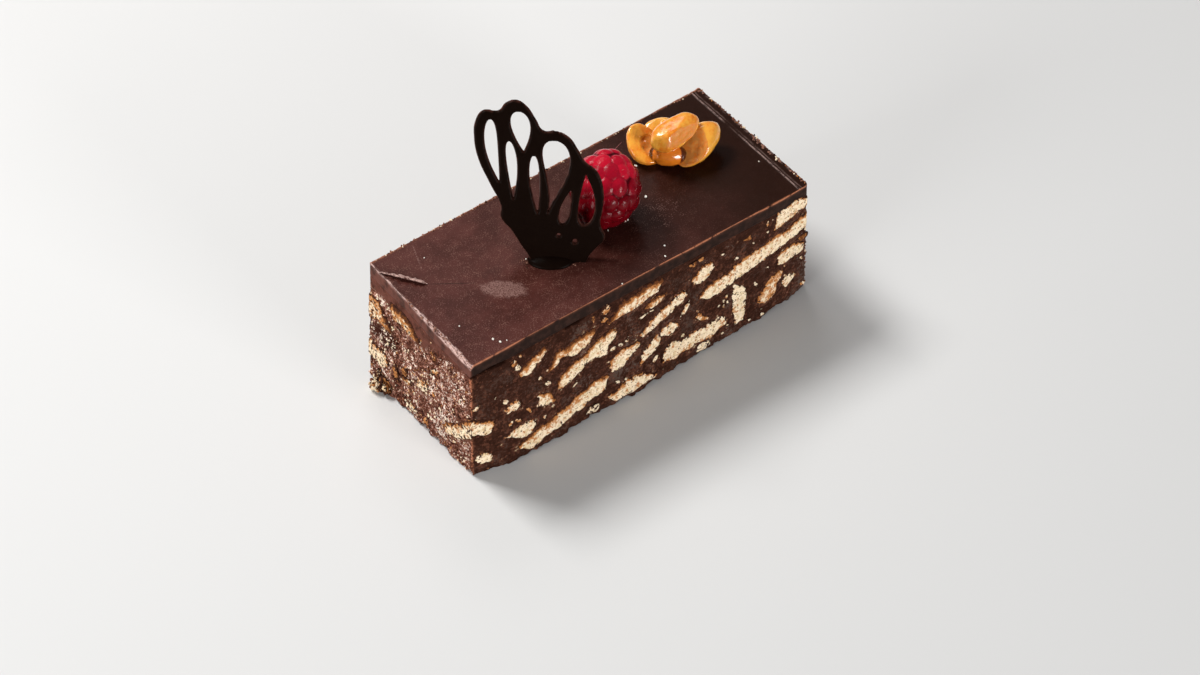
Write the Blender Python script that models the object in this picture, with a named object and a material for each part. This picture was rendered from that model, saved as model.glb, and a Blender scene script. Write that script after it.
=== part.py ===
"""A cut slice of mosaic cake with chocolate lace, a raspberry and caramelised peanuts.

The slice lies along X, with its long cut face at -Y and its base on Z = 0. A cocoa mass holds
broken biscuits, a chocolate glaze lies over it, and three garnishes stand on the glaze.
Sizes are millimetres in the tables and metres in the meshes.
"""
import math
import random
from typing import NamedTuple

import bmesh
import bpy
import numpy as np
from mathutils import Euler, Matrix, Vector, noise

MM = 0.001
CLEARANCE = 0.3          # gap kept between solids that touch

# Slice: corners run front left, front right, back right, back left
BASE_CORNERS = ((-61.0, -25.6), (61.6, -25.6), (61.4, 25.6), (-61.6, 25.2))
TOP_CORNERS = ((-60.1, -24.8), (59.7, -25.7), (59.5, 25.4), (-58.8, 24.9))
HEIGHT = 44.8
GLAZE_THICKNESS = 4.0
MASS_TOP = HEIGHT - GLAZE_THICKNESS - CLEARANCE
FOOT_WAVE = (0.8, -2.3, -2.6, -1.9, -2.6, -1.8, -1.0, -1.4, -0.6, 1.4)   # front foot from its corners
RELIEF_CELL = 6.0        # spacing of the points that carry the faces' unevenness
RELIEF_DEPTH = 0.35      # how far a cut face swells or sinks
RELIEF_WAVE = 14.0       # length of one swell along a face
FACE_APART = 40.0        # step in the noise that gives each face its own swells
FLAT_LIMIT = 0.05        # degrees between faces that count as one flat

# Biscuit pieces
RAG_STEP = 5.0           # spacing of the ragged points along a piece
RAG_LENGTH = 0.7         # raggedness of the broken ends
RAG_THICKNESS = 0.3      # raggedness of the flat sides
OVERHANG = 5.0           # how far the raw block stands out before the cut face trims it
DEPTH_PER_LENGTH = 0.8   # how deep a piece runs in, against its length on the cut face
DEPTH_RANGE = (5.0, 12.0)

# Chocolate lace: its outline and openings are (across, up) on the leaning sheet, from the foot
LACE_FOOT = (-17.7, -5.0)
LACE_HEADING = -37.1     # degrees about Z
LACE_LEAN = 20.0         # degrees back from upright
LACE_THICKNESS = 2.0
LACE_OUTLINE = (
    (3.4, -1.0), (-3.6, -1.0), (-6.0, 1.6), (-8.4, 4.8), (-11.2, 9.6), (-14.0, 13.4), (-14.1, 17.3),
    (-16.8, 23.5), (-20.2, 31.8), (-21.2, 38.2), (-20.7, 43.2), (-18.6, 46.2), (-14.3, 46.2),
    (-12.2, 48.5), (-9.3, 49.3), (-6.6, 47.7), (-4.0, 43.7), (-1.7, 40.0), (1.2, 39.9),
    (5.0, 38.3), (8.0, 33.9), (9.8, 30.6), (13.1, 27.6), (14.9, 21.7), (14.6, 15.4),
    (14.0, 11.4), (15.0, 7.4), (12.4, 4.4), (9.6, 2.2), (6.2, 1.1),
)
FOOT_DAB = (6.6, 4.0, 1.9)   # half sizes of the set chocolate round the foot: across, deep, high


class Opening(NamedTuple):
    """A drop-shaped opening in the lace, from its sharp tip to its round end."""

    tip: tuple
    end: tuple
    half_width: float
    bow: float = 0.0         # how far the middle is bent to the left of the line from tip to end
    sharpness: float = 1.0   # higher values draw the widest place towards the round end


LACE_OPENINGS = (
    Opening((-14.3, 24.6), (-16.7, 43.4), 1.75, 0.7),
    Opening((-7.4, 33.8), (-9.1, 45.7), 2.6, -0.4),
    Opening((-10.4, 19.4), (-11.5, 36.7), 1.4, -0.4),
    Opening((-3.6, 14.9), (-4.6, 32.3), 1.35, 0.2),
    Opening((-0.8, 15.0), (1.2, 36.9), 3.8, -1.5, 2.5),
    Opening((5.8, 21.7), (3.2, 11.5), 1.35, -0.2),
    Opening((10.0, 26.4), (9.4, 11.1), 2.3, 0.6),
)
LACE_PINHOLES = ((2.3, 8.1, 0.45), (6.8, 6.1, 0.6))     # across, up, radius

# Raspberry
BERRY_CENTRE = (6.0, -0.9, 55.9)
BERRY_RADII = (9.9, 9.9, 11.3)
BERRY_LEAN = 43.0        # degrees that the berry leans back
BERRY_ROWS = 8           # rings of drupelets from top to bottom
BERRY_RELIEF = 0.12      # height of a drupelet over the seams, against the radius
BERRY_REACH = 0.62       # how far a drupelet's dome reaches, against the spacing of the rings

# Lump of crust that was dragged out at the foot of the left end
HEEL_CENTRE = (-62.2, 18.0, 3.3)
HEEL_RADII = (4.2, 3.9, 3.6)
HEEL_LUMPS = 0.12        # height of its lumps, against its radius
HEEL_WAVE = 3.0          # lumps to a radius


class Face(NamedTuple):
    """A cut face: the direction along it, the direction into the cake and a point on it."""

    along: Vector
    inward: Vector
    origin: Vector


FACES = {
    "front": Face(Vector((1, 0, 0)), Vector((0, 1, 0)), Vector((0, -25.7, 0))),
    "back": Face(Vector((1, 0, 0)), Vector((0, -1, 0)), Vector((0, 25.3, 0))),
    "left": Face(Vector((0, 1, 0)), Vector((1, 0, 0)), Vector((-60.5, 0, 0))),
    "right": Face(Vector((0, 1, 0)), Vector((-1, 0, 0)), Vector((60.5, 0, 0))),
}


class Biscuit(NamedTuple):
    """A broken biscuit seen edge on in a cut face, with its slope along and into the cake."""

    face: str
    along: float
    up: float
    length: float
    thickness: float
    tilt: float
    slope_in: float = 0.0


BISCUITS = (
    Biscuit("front", -40.0, 33.9, 11.5, 4.6, 28),
    Biscuit("front", -25.2, 32.6, 15.6, 4.5, 6),
    Biscuit("front", -21.2, 24.2, 21.6, 5.3, 22),
    Biscuit("front", -57.7, 19.4, 10.0, 5.4, -18, -41.6),
    Biscuit("front", -56.4, 6.6, 5.4, 4.8, -25),
    Biscuit("front", -46.7, 21.1, 5.4, 3.8, 4),
    Biscuit("front", -36.7, 18.0, 6.6, 4.8, -33),
    Biscuit("front", -45.4, 11.4, 10.0, 4.2, 0),
    Biscuit("front", -30.3, 7.8, 32.2, 5.2, 14),
    Biscuit("front", -3.2, 35.7, 19.0, 5.0, 11),
    Biscuit("front", 3.8, 31.0, 8.0, 2.8, 13),
    Biscuit("front", 6.6, 25.1, 17.0, 4.8, 21),
    Biscuit("front", -8.4, 17.1, 11.5, 5.4, 21),
    Biscuit("front", 0.9, 14.0, 8.4, 5.0, 38),
    Biscuit("front", 9.7, 17.9, 5.4, 4.6, 8),
    Biscuit("front", 17.6, 8.0, 23.2, 5.6, 1),
    Biscuit("front", -5.4, 3.8, 17.0, 5.0, 1),
    Biscuit("front", 21.0, 31.9, 8.5, 5.0, 19),
    Biscuit("front", 42.4, 26.8, 43.6, 5.7, 11.5),
    Biscuit("front", 55.4, 37.2, 16.6, 5.4, 6.5),
    Biscuit("front", 53.4, 20.2, 10.4, 5.2, 3),
    Biscuit("front", 33.9, 12.4, 15.4, 4.8, 96),
    Biscuit("front", 46.0, 10.9, 9.8, 4.3, 45),
    Biscuit("front", 55.1, 8.8, 4.8, 4.3, 25),
    Biscuit("front", 21.0, 14.9, 4.5, 3.4, -25),
    Biscuit("left", 8.3, 35.0, 12.6, 4.3, -2),
    Biscuit("left", 21.8, 28.7, 14.0, 4.8, 22),
    Biscuit("left", 22.2, 13.4, 11.0, 5.3, 0),
    Biscuit("left", 7.0, 14.2, 5.0, 3.0, -14),
    Biscuit("left", -1.4, 17.8, 5.8, 4.0, -39),
    Biscuit("left", 4.2, 4.6, 5.4, 3.8, -9),
    Biscuit("right", 7.0, 33.0, 16.0, 5.0, 8),
    Biscuit("right", 13.0, 22.6, 17.0, 5.4, -14),
    Biscuit("right", -5.5, 15.5, 12.0, 5.0, 20),
    Biscuit("right", 10.0, 8.0, 16.0, 5.4, 6),
    Biscuit("right", -9.5, 5.0, 9.0, 4.8, -8),
    Biscuit("back", -42.5, 32.5, 13.0, 5.0, -12),
    Biscuit("back", -22.0, 34.0, 18.0, 5.0, 8),
    Biscuit("back", 2.0, 30.0, 22.0, 5.4, -10),
    Biscuit("back", 25.5, 34.0, 15.0, 5.0, 14),
    Biscuit("back", 40.0, 24.0, 18.0, 5.4, -16),
    Biscuit("back", -38.0, 20.5, 21.0, 5.4, 14),
    Biscuit("back", -12.0, 19.0, 17.0, 5.6, -20),
    Biscuit("back", 16.0, 18.5, 18.0, 5.0, 8),
    Biscuit("back", -41.5, 7.2, 15.0, 5.4, -6),
    Biscuit("back", -16.5, 6.6, 19.0, 5.6, 10),
    Biscuit("back", 11.5, 7.8, 15.0, 5.0, 20),
    Biscuit("back", 37.5, 9.0, 23.0, 5.6, -8),
)


class Peanut(NamedTuple):
    """A caramelised peanut, or half of one whose flat side looks along facing."""

    centre: tuple
    size: tuple
    along: tuple
    facing: tuple
    half: bool


# The nut on top comes first, and each later one is hollowed where an earlier one presses in
PEANUTS = (
    Peanut((35.3, 6.4, 55.4), (17.2, 8.9, 8.6), (0.99, 0.05, 0.12), (0, 0, 1), False),
    Peanut((28.8, 11.3, 50.2), (12.8, 9.4, 9.0), (0.25, 0.72, 0.65), (-0.45, -0.5, 0.73), True),
    Peanut((42.7, 3.9, 50.5), (15.6, 9.6, 9.0), (0.85, 0.46, 0.25), (-0.5, -0.4, 0.76), True),
    Peanut((33.0, 5.4, 48.9), (11.5, 7.0, 6.8), (0.8, -0.6, 0.0), (0, 0, 1), False),
    Peanut((38.4, 15.2, 49.5), (12.0, 7.6, 7.8), (0.9, -0.43, 0.05), (0, 0, 1), False),
)
PEANUT_TAPER = 0.1       # one end is thinner than the other by this share
PEANUT_UNEVEN = 0.25     # swells of the caramel skin

COLOURS = {
    "cocoa": ((0.045, 0.020, 0.014), 0.6),
    "biscuit": ((0.78, 0.60, 0.35), 0.85),
    "glaze": ((0.060, 0.024, 0.018), 0.35),
    "lace": ((0.012, 0.006, 0.004), 0.3),
    "raspberry": ((0.42, 0.012, 0.035), 0.3),
    "peanut": ((0.68, 0.33, 0.07), 0.2),
}


def empty_scene():
    """Removes every object that the file starts with."""
    for thing in list(bpy.data.objects):
        bpy.data.objects.remove(thing, do_unlink=True)


def collection(name):
    """Makes a collection in the scene."""
    made = bpy.data.collections.new(name)
    bpy.context.scene.collection.children.link(made)
    return made


def principled(name):
    """Makes the plain material of one kind of food from its colour and roughness."""
    colour, roughness = COLOURS[name]
    material = bpy.data.materials.new(name)
    material.use_nodes = True
    shader = material.node_tree.nodes["Principled BSDF"]
    shader.inputs["Base Color"].default_value = (*colour, 1.0)
    shader.inputs["Roughness"].default_value = roughness
    shader.inputs["Metallic"].default_value = 0.0
    return material


def to_object(mesh, name, group, material=None):
    """Turns a bmesh in millimetres into an object in metres with outward faces."""
    bmesh.ops.recalc_face_normals(mesh, faces=mesh.faces)
    if mesh.calc_volume(signed=True) < 0:
        bmesh.ops.reverse_faces(mesh, faces=mesh.faces)
    bmesh.ops.scale(mesh, vec=(MM, MM, MM), verts=mesh.verts)
    data = bpy.data.meshes.new(name)
    mesh.to_mesh(data)
    mesh.free()
    made = bpy.data.objects.new(name, data)
    group.objects.link(made)
    if material:
        data.materials.append(material)
    return made


def as_cutter(thing):
    """Marks an object as a guide that isn't part of the cake."""
    thing.hide_render = True
    thing.display_type = "WIRE"
    return thing


def boolean(target, operation, cutter):
    """Joins, cuts or trims an object by another and applies the result."""
    step = target.modifiers.new(operation.lower(), "BOOLEAN")
    step.operation = operation
    step.object = cutter
    graph = bpy.context.evaluated_depsgraph_get()
    result = bpy.data.meshes.new_from_object(target.evaluated_get(graph))
    target.modifiers.clear()
    old = target.data
    target.data = result
    bpy.data.meshes.remove(old)


def slice_point(u, v, height):
    """A point at one height, where u runs from the left to the right end and v to the back."""
    share = height / HEIGHT
    corners = [Vector(low).lerp(Vector(high), share) for low, high in zip(BASE_CORNERS, TOP_CORNERS)]
    front = corners[0].lerp(corners[1], u)
    back = corners[3].lerp(corners[2], u)
    front.y += (1 - share) * float(np.interp(u, np.linspace(0, 1, len(FOOT_WAVE)), FOOT_WAVE))
    return Vector((*front.lerp(back, v), height))


def swell(point, across):
    """How far the face point stands out, from slow noise that differs from face to face."""
    return RELIEF_DEPTH * noise.noise(point / RELIEF_WAVE + Vector((across * FACE_APART, 0.0, 0.0)))


def loaf_block(name, low, high, group, material=None):
    """A block of the slice between two heights, whose sides follow the uneven cut faces."""
    mesh = bmesh.new()
    bmesh.ops.create_cube(mesh, size=1.0)
    sizes = (2 * TOP_CORNERS[1][0], 2 * TOP_CORNERS[2][1], high - low)
    for axis, size in enumerate(sizes):
        edges = [edge for edge in mesh.edges if abs((edge.verts[0].co - edge.verts[1].co)[axis]) > 0.5]
        cuts = max(1, round(size / RELIEF_CELL) - 1)
        bmesh.ops.subdivide_edges(mesh, edges=edges, cuts=cuts, use_grid_fill=True)
    for vertex in mesh.verts:
        u, v, w = (vertex.co + Vector((0.5, 0.5, 0.5)))
        point = slice_point(u, v, low + w * (high - low))
        out_x = 2 * round(u - 0.5, 3)
        out_y = 2 * round(v - 0.5, 3)
        stand_x = swell(point, 1 + out_x) if abs(out_x) == 1 else 0.0
        stand_y = swell(point, 4 + out_y) if abs(out_y) == 1 else 0.0
        vertex.co = point + Vector((out_x * stand_x, out_y * stand_y, 0.0))
    flat = [edge for edge in mesh.edges if len({round(vertex.co.z, 4) for vertex in edge.verts}) == 1]
    bmesh.ops.dissolve_limit(mesh, angle_limit=math.radians(FLAT_LIMIT), verts=[], edges=flat)
    bmesh.ops.triangulate(mesh, faces=mesh.faces)
    return to_object(mesh, name, group, material)


def broken_block(piece, seed, growth):
    """The raw ragged block of a biscuit, standing out past its face and grown on every side."""
    face = FACES[piece.face]
    depth = min(max(piece.length * DEPTH_PER_LENGTH, DEPTH_RANGE[0]), DEPTH_RANGE[1])
    if piece.slope_in:
        depth = DEPTH_RANGE[1]
    draw = random.Random(seed)
    mesh = bmesh.new()
    bmesh.ops.create_cube(mesh, size=1.0)
    lengthwise = [edge for edge in mesh.edges if abs((edge.verts[0].co - edge.verts[1].co).x) > 0.5]
    bmesh.ops.subdivide_edges(mesh, edges=lengthwise, cuts=max(1, round(piece.length / RAG_STEP)))
    rags = {}
    turn = math.radians(piece.tilt)
    sink = math.tan(math.radians(piece.slope_in))
    for vertex in mesh.verts:
        place = (round(vertex.co.x, 3), round(vertex.co.z, 3))
        if place not in rags:
            rags[place] = (draw.uniform(-1, 1) * RAG_LENGTH, draw.uniform(-1, 1) * RAG_THICKNESS)
        x = vertex.co.x * (piece.length - 2 * RAG_LENGTH + 2 * growth) + rags[place][0]
        z = vertex.co.z * (piece.thickness + 2 * growth) + rags[place][1]
        inward = -OVERHANG if vertex.co.y < 0 else depth + growth
        along = piece.along + x * math.cos(turn) - z * math.sin(turn)
        up = piece.up + x * math.sin(turn) + z * math.cos(turn)
        up += inward * sink
        vertex.co = face.origin + face.along * along + face.inward * inward + Vector((0, 0, up))
    return mesh


def heel_lump(growth):
    """A rounded lump with a flat underside on the ground, grown on every side."""
    mesh = bmesh.new()
    bmesh.ops.create_icosphere(mesh, subdivisions=2, radius=1.0)
    for vertex in mesh.verts:
        bump = 1.0 + HEEL_LUMPS * noise.noise(vertex.co * HEEL_WAVE)
        vertex.co = Vector([part * (size * bump + growth) for part, size in zip(vertex.co, HEEL_RADII)])
        vertex.co += Vector(HEEL_CENTRE)
        vertex.co.z = max(vertex.co.z, -growth)
    return mesh


def set_biscuits(mass, group, cutters, material):
    """Cuts a pocket in the mass for each biscuit and trims the biscuit at the cut face."""
    whole = as_cutter(loaf_block("slice_form", 0.0, MASS_TOP, cutters))
    count = {}
    pockets = []
    for seed, piece in enumerate(BISCUITS):
        count[piece.face] = count.get(piece.face, 0) + 1
        name = f"biscuit_{piece.face}_{count[piece.face]}"
        made = to_object(broken_block(piece, seed, 0.0), name, group, material)
        boolean(made, "INTERSECT", whole)
        pockets.append(to_object(broken_block(piece, seed, CLEARANCE), f"pocket_{name}", cutters))
    to_object(heel_lump(0.0), "biscuit_heel", group, material)
    pockets.append(to_object(heel_lump(CLEARANCE), "pocket_heel", cutters))
    for pocket in pockets:
        boolean(mass, "DIFFERENCE", as_cutter(pocket))


def drop_outline(opening, points=14):
    """Points round a drop whose half width swells as sin(a) sin(a / 2) ^ sharpness."""
    tip = Vector(opening.tip)
    axis = Vector(opening.end) - tip
    side = Vector((-axis.y, axis.x)).normalized()
    power = opening.sharpness
    widest = 2 * ((power + 1) / (power + 2)) ** ((power + 1) / 2) / math.sqrt(power + 2)
    outline = []
    for index in range(points):
        angle = 2 * math.pi * index / points
        along = (1 - math.cos(angle)) / 2
        across = opening.half_width * math.sin(angle) * math.sin(angle / 2) ** power / widest
        across += opening.bow * math.sin(math.pi * along)
        outline.append(tip + axis * along + side * across)
    return outline


def ring_outline(across, up, radius, points=8):
    """Points round a pinhole."""
    angles = [2 * math.pi * index / points for index in range(points)]
    return [Vector((across + radius * math.cos(a), up + radius * math.sin(a))) for a in angles]


def add_poly(curve, points):
    """Adds a closed straight-sided spline to a flat curve."""
    spline = curve.splines.new("POLY")
    spline.points.add(len(points) - 1)
    for target, point in zip(spline.points, points):
        target.co = (point.x * MM, point.y * MM, 0.0, 1.0)
    spline.use_cyclic_u = True


def lace_placement():
    """The lace's frame: across is X, up the leaning sheet is Y, and its foot is the origin."""
    foot = Matrix.Translation(Vector((*LACE_FOOT, HEIGHT)) * MM)
    heading = Matrix.Rotation(math.radians(LACE_HEADING), 4, "Z")
    lean = Matrix.Rotation(math.radians(90 - LACE_LEAN), 4, "X")
    return foot @ heading, foot @ heading @ lean


def foot_dab(name, growth, group, material=None):
    """The flat drop of set chocolate that holds the lace's foot."""
    mesh = bmesh.new()
    bmesh.ops.create_uvsphere(mesh, u_segments=20, v_segments=10, radius=1.0)
    bmesh.ops.scale(mesh, vec=[size + growth for size in FOOT_DAB], verts=mesh.verts)
    made = to_object(mesh, name, group, material)
    made.matrix_world = lace_placement()[0]
    bpy.context.view_layer.update()
    return made


def chocolate_lace(glaze, group, cutters, material):
    """A leaning sheet of piped loops whose foot is set in the glaze."""
    curve = bpy.data.curves.new("lace_outline", "CURVE")
    curve.dimensions = "2D"
    curve.fill_mode = "BOTH"
    curve.extrude = LACE_THICKNESS / 2 * MM
    curve.resolution_u = 3
    outline = curve.splines.new("BEZIER")
    outline.bezier_points.add(len(LACE_OUTLINE) - 1)
    for target, (across, up) in zip(outline.bezier_points, LACE_OUTLINE):
        target.co = (across * MM, up * MM, 0.0)
        target.handle_left_type = "AUTO"
        target.handle_right_type = "AUTO"
    outline.use_cyclic_u = True
    for opening in LACE_OPENINGS:
        add_poly(curve, drop_outline(opening))
    for pinhole in LACE_PINHOLES:
        add_poly(curve, ring_outline(*pinhole))
    drawn = bpy.data.objects.new("lace_curve", curve)
    cutters.objects.link(drawn)
    drawn.matrix_world = lace_placement()[1]
    bpy.context.view_layer.update()
    graph = bpy.context.evaluated_depsgraph_get()
    data = bpy.data.meshes.new_from_object(drawn.evaluated_get(graph))
    mesh = bmesh.new()
    mesh.from_mesh(data)
    bmesh.ops.remove_doubles(mesh, verts=mesh.verts, dist=0.01 * MM)
    bmesh.ops.recalc_face_normals(mesh, faces=mesh.faces)
    mesh.to_mesh(data)
    mesh.free()
    lace = bpy.data.objects.new("lace", data)
    data.materials.clear()
    data.materials.append(material)
    group.objects.link(lace)
    lace.matrix_world = drawn.matrix_world.copy()
    bpy.data.objects.remove(drawn)
    boolean(lace, "UNION", as_cutter(foot_dab("dab", 0.0, cutters)))
    boolean(glaze, "DIFFERENCE", as_cutter(foot_dab("dab_pocket", CLEARANCE, cutters)))


def drupelet_centres():
    """Directions of the drupelets, in rings whose count follows the ring's girth."""
    centres = []
    for row in range(BERRY_ROWS):
        polar = math.pi * (row + 0.5) / BERRY_ROWS
        count = max(3, round(2 * BERRY_ROWS * math.sin(polar)))
        for place in range(count):
            turn = 2 * math.pi * (place + 0.5 * (row % 2)) / count
            ring = math.sin(polar)
            centres.append(Vector((ring * math.cos(turn), ring * math.sin(turn), math.cos(polar))))
    return centres


def raspberry(group, material):
    """A berry whose skin bulges in a dome over each drupelet."""
    centres = drupelet_centres()
    reach = BERRY_REACH * math.pi / BERRY_ROWS
    turn = Euler((math.radians(-BERRY_LEAN), 0.0, math.radians(LACE_HEADING))).to_matrix()
    mesh = bmesh.new()
    bmesh.ops.create_icosphere(mesh, subdivisions=4, radius=1.0)
    for vertex in mesh.verts:
        away = min(vertex.co.angle(centre) for centre in centres) / reach
        dome = math.sqrt(max(0.0, 1.0 - min(away, 1.0) ** 2))
        skin = vertex.co * (1.0 - BERRY_RELIEF * (1.0 - dome))
        sized = Vector([part * radius for part, radius in zip(skin, BERRY_RADII)])
        vertex.co = turn @ sized + Vector(BERRY_CENTRE)
        vertex.co.z = max(vertex.co.z, HEIGHT + CLEARANCE)
    berry = to_object(mesh, "raspberry", group, material)
    berry.data.shade_smooth()


def nut_body(nut, growth):
    """An egg-shaped nut, thinner at one end, with the flat side of a half cut off."""
    mesh = bmesh.new()
    bmesh.ops.create_uvsphere(mesh, u_segments=16, v_segments=10, radius=1.0)
    half_sizes = [size / 2 + growth for size in nut.size]
    for vertex in mesh.verts:
        x, y, z = vertex.co.z, vertex.co.x, vertex.co.y
        girth = 1.0 - PEANUT_TAPER * x
        uneven = PEANUT_UNEVEN * noise.noise(Vector((x, y, z)) * 2.0 + Vector(nut.centre))
        body = Vector((x * half_sizes[0], y * half_sizes[1] * girth, z * half_sizes[2] * girth))
        vertex.co = body + body.normalized() * uneven
    if nut.half:
        parts = [*mesh.verts, *mesh.edges, *mesh.faces]
        cut = bmesh.ops.bisect_plane(
            mesh, geom=parts, plane_co=(0, 0, growth), plane_no=(0, 0, 1), clear_outer=True)
        rim = [part for part in cut["geom_cut"] if isinstance(part, bmesh.types.BMEdge)]
        bmesh.ops.edgeloop_fill(mesh, edges=rim)
    along = Vector(nut.along).normalized()
    side = Vector(nut.facing).cross(along).normalized()
    frame = Matrix((along, side, along.cross(side))).transposed().to_4x4()
    bmesh.ops.transform(mesh, matrix=Matrix.Translation(nut.centre) @ frame, verts=mesh.verts)
    for vertex in mesh.verts:
        vertex.co.z = max(vertex.co.z, HEIGHT + CLEARANCE)
    return mesh


def peanuts(group, cutters, material):
    """A small pile of nuts: each is hollowed where a nut above presses into it."""
    for number, nut in enumerate(PEANUTS, start=1):
        made = to_object(nut_body(nut, 0.0), f"nut_{number}", group, material)
        for above, pressing in enumerate(PEANUTS[:number - 1], start=1):
            press = to_object(nut_body(pressing, CLEARANCE), f"press_{number}_{above}", cutters)
            boolean(made, "DIFFERENCE", as_cutter(press))
        made.data.shade_smooth()


def main():
    """Builds the slice, its biscuits and the garnishes."""
    empty_scene()
    cake = collection("mosaic_cake")
    cutters = collection("cutters")
    materials = {name: principled(name) for name in COLOURS}
    mass = loaf_block("fudge", 0.0, MASS_TOP, cake, materials["cocoa"])
    glaze = loaf_block("glaze", HEIGHT - GLAZE_THICKNESS, HEIGHT, cake, materials["glaze"])
    set_biscuits(mass, cake, cutters, materials["biscuit"])
    chocolate_lace(glaze, cake, cutters, materials["lace"])
    raspberry(cake, materials["raspberry"])
    peanuts(cake, cutters, materials["peanut"])


main()
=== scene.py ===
"""The looks of a slice of mosaic cake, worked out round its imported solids.

The slice lies along X with its long cut face at -Y and its base on Z = 0. Broken biscuits show in a
cocoa mass under a chocolate glaze, which carries a chocolate lace, a raspberry and a few caramelised
peanuts. Sizes are millimetres here and metres in the meshes.
"""
import logging
import math
from dataclasses import dataclass, field
from enum import Enum

import bpy
import numpy as np
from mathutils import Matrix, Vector


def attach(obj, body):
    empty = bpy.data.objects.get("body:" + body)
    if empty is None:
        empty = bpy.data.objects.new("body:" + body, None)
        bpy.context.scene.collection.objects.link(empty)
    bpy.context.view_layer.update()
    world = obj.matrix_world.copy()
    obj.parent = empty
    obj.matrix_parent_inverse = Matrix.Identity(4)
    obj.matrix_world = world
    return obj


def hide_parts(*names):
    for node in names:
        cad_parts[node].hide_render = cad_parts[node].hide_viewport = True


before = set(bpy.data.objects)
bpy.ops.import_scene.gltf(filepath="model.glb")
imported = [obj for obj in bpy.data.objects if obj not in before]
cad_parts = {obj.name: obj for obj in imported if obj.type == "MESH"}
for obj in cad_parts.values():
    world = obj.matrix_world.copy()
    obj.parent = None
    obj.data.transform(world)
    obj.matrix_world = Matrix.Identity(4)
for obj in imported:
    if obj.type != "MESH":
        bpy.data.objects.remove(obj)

LOG = logging.getLogger("mosaic_cake")
Array = np.ndarray
MM = 0.001
BODY = "root"
FAR = 9.0                # millimetres that count as far off
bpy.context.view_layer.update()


def lattice_noise(points: Array, wave: float, seed: float = 0.0) -> Array:
    """Gives smooth noise at each point.

    Every corner of a cubic lattice has a number drawn from its place, and a point blends the eight
    numbers round it with weights that start and stop gently.

    Args:
        points: Places in millimetres, three to a row.
        wave: Spacing of the lattice in millimetres, or one for each axis.
        seed: Number that shifts the lattice, for another pattern.

    Returns:
        A number from -1 to 1 for each point.
    """
    scaled = points / wave + seed * 17.31
    cell = np.floor(scaled).astype(np.int64)
    share = scaled - cell
    share = share ** 3 * (share * (share * 6 - 15) + 10)
    total = np.zeros(len(points))
    for corner in np.ndindex(2, 2, 2):
        key = ((cell + corner) * (73856093, 19349663, 83492791)).sum(axis=1) % 1000003
        drawn = np.sin(key * 12.9898) * 43758.5453 % 1.0
        total += np.where(corner, share, 1 - share).prod(axis=1) * (2 * drawn - 1)
    return total


def layered_noise(points: Array, wave: float, seed: float = 0.0, layers: int = 3) -> Array:
    """Adds layers of lattice noise, each with half the wave and weight of the one before.

    Args:
        points: Places in millimetres, three to a row.
        wave: Spacing of the coarsest layer.
        seed: Number that shifts the pattern.
        layers: How many layers are added.

    Returns:
        A number of about -1 to 1 for each point.
    """
    return sum(lattice_noise(points, wave / 2 ** n, seed + n) / 2 ** n for n in range(layers)) / 1.4


def ease(value: Array, low: float, high: float) -> Array:
    """Rises gently from 0 at low to 1 at high, as 3 t squared less 2 t cubed."""
    share = np.clip((value - low) / (high - low), 0.0, 1.0)
    return share * share * (3 - 2 * share)


def bell(value: Array, middle: float, width: float) -> Array:
    """Swells to 1 at the middle and dies away over the width on either side."""
    return np.exp(-((value - middle) / width) ** 2)


def unit(vector: Array) -> Array:
    """Scales vectors to length one along the last axis."""
    return vector / np.linalg.norm(vector, axis=-1, keepdims=True)


def side_by_side(*parts: object) -> Array:
    """Sets values side by side as columns, with a single number repeated down its column."""
    return np.column_stack(np.broadcast_arrays(*parts))


def grid_quads(number: Array) -> Array:
    """The numbers at the four corners of each cell of a grid of numbered points."""
    return np.stack((number[:-1, :-1], number[1:, :-1], number[1:, 1:], number[:-1, 1:]), -1)


@dataclass
class Shell:
    """A closed surface in millimetres, with its faces by corner count and marks for the finish."""

    points: Array
    faces: list
    marks: dict = field(default_factory=dict)


def join_shells(shells: list) -> Shell:
    """Puts several shells into one, with their faces renumbered.

    Args:
        shells: Shells that all carry the same marks.

    Returns:
        One shell with the points, faces and marks of all.
    """
    starts = np.cumsum([0] + [len(shell.points) for shell in shells])
    faces = [face + start for shell, start in zip(shells, starts) for face in shell.faces]
    marks = {name: np.concatenate([shell.marks[name] for shell in shells]) for name in shells[0].marks}
    return Shell(np.concatenate([shell.points for shell in shells]), faces, marks)


def make_piece(name: str, shell: Shell, material: bpy.types.Material, nodes: tuple = ()
               ) -> bpy.types.Object:
    """Makes a shell into a shown piece that rides on the cake.

    Args:
        name: The piece's name.
        shell: Its surface in millimetres.
        material: Its finish.
        nodes: CAD nodes that it stands for.

    Returns:
        The new object.
    """
    mesh = bpy.data.meshes.new(name)
    faces = [row for group in shell.faces for row in group.tolist()]
    mesh.from_pydata((shell.points * MM).tolist(), [], faces)
    mesh.polygons.foreach_set("use_smooth", np.ones(len(faces), bool))
    for mark, values in shell.marks.items():
        layer = mesh.attributes.new(mark, "FLOAT", "POINT")
        layer.data.foreach_set("value", np.asarray(values, np.float32))
    mesh.materials.append(material)
    mesh.update()
    piece = bpy.data.objects.new(name, mesh)
    bpy.context.scene.collection.objects.link(piece)
    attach(piece, BODY)
    if nodes:
        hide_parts(*nodes)
    LOG.info("%s: %d points, %d faces", name, len(shell.points), len(faces))
    return piece


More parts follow.
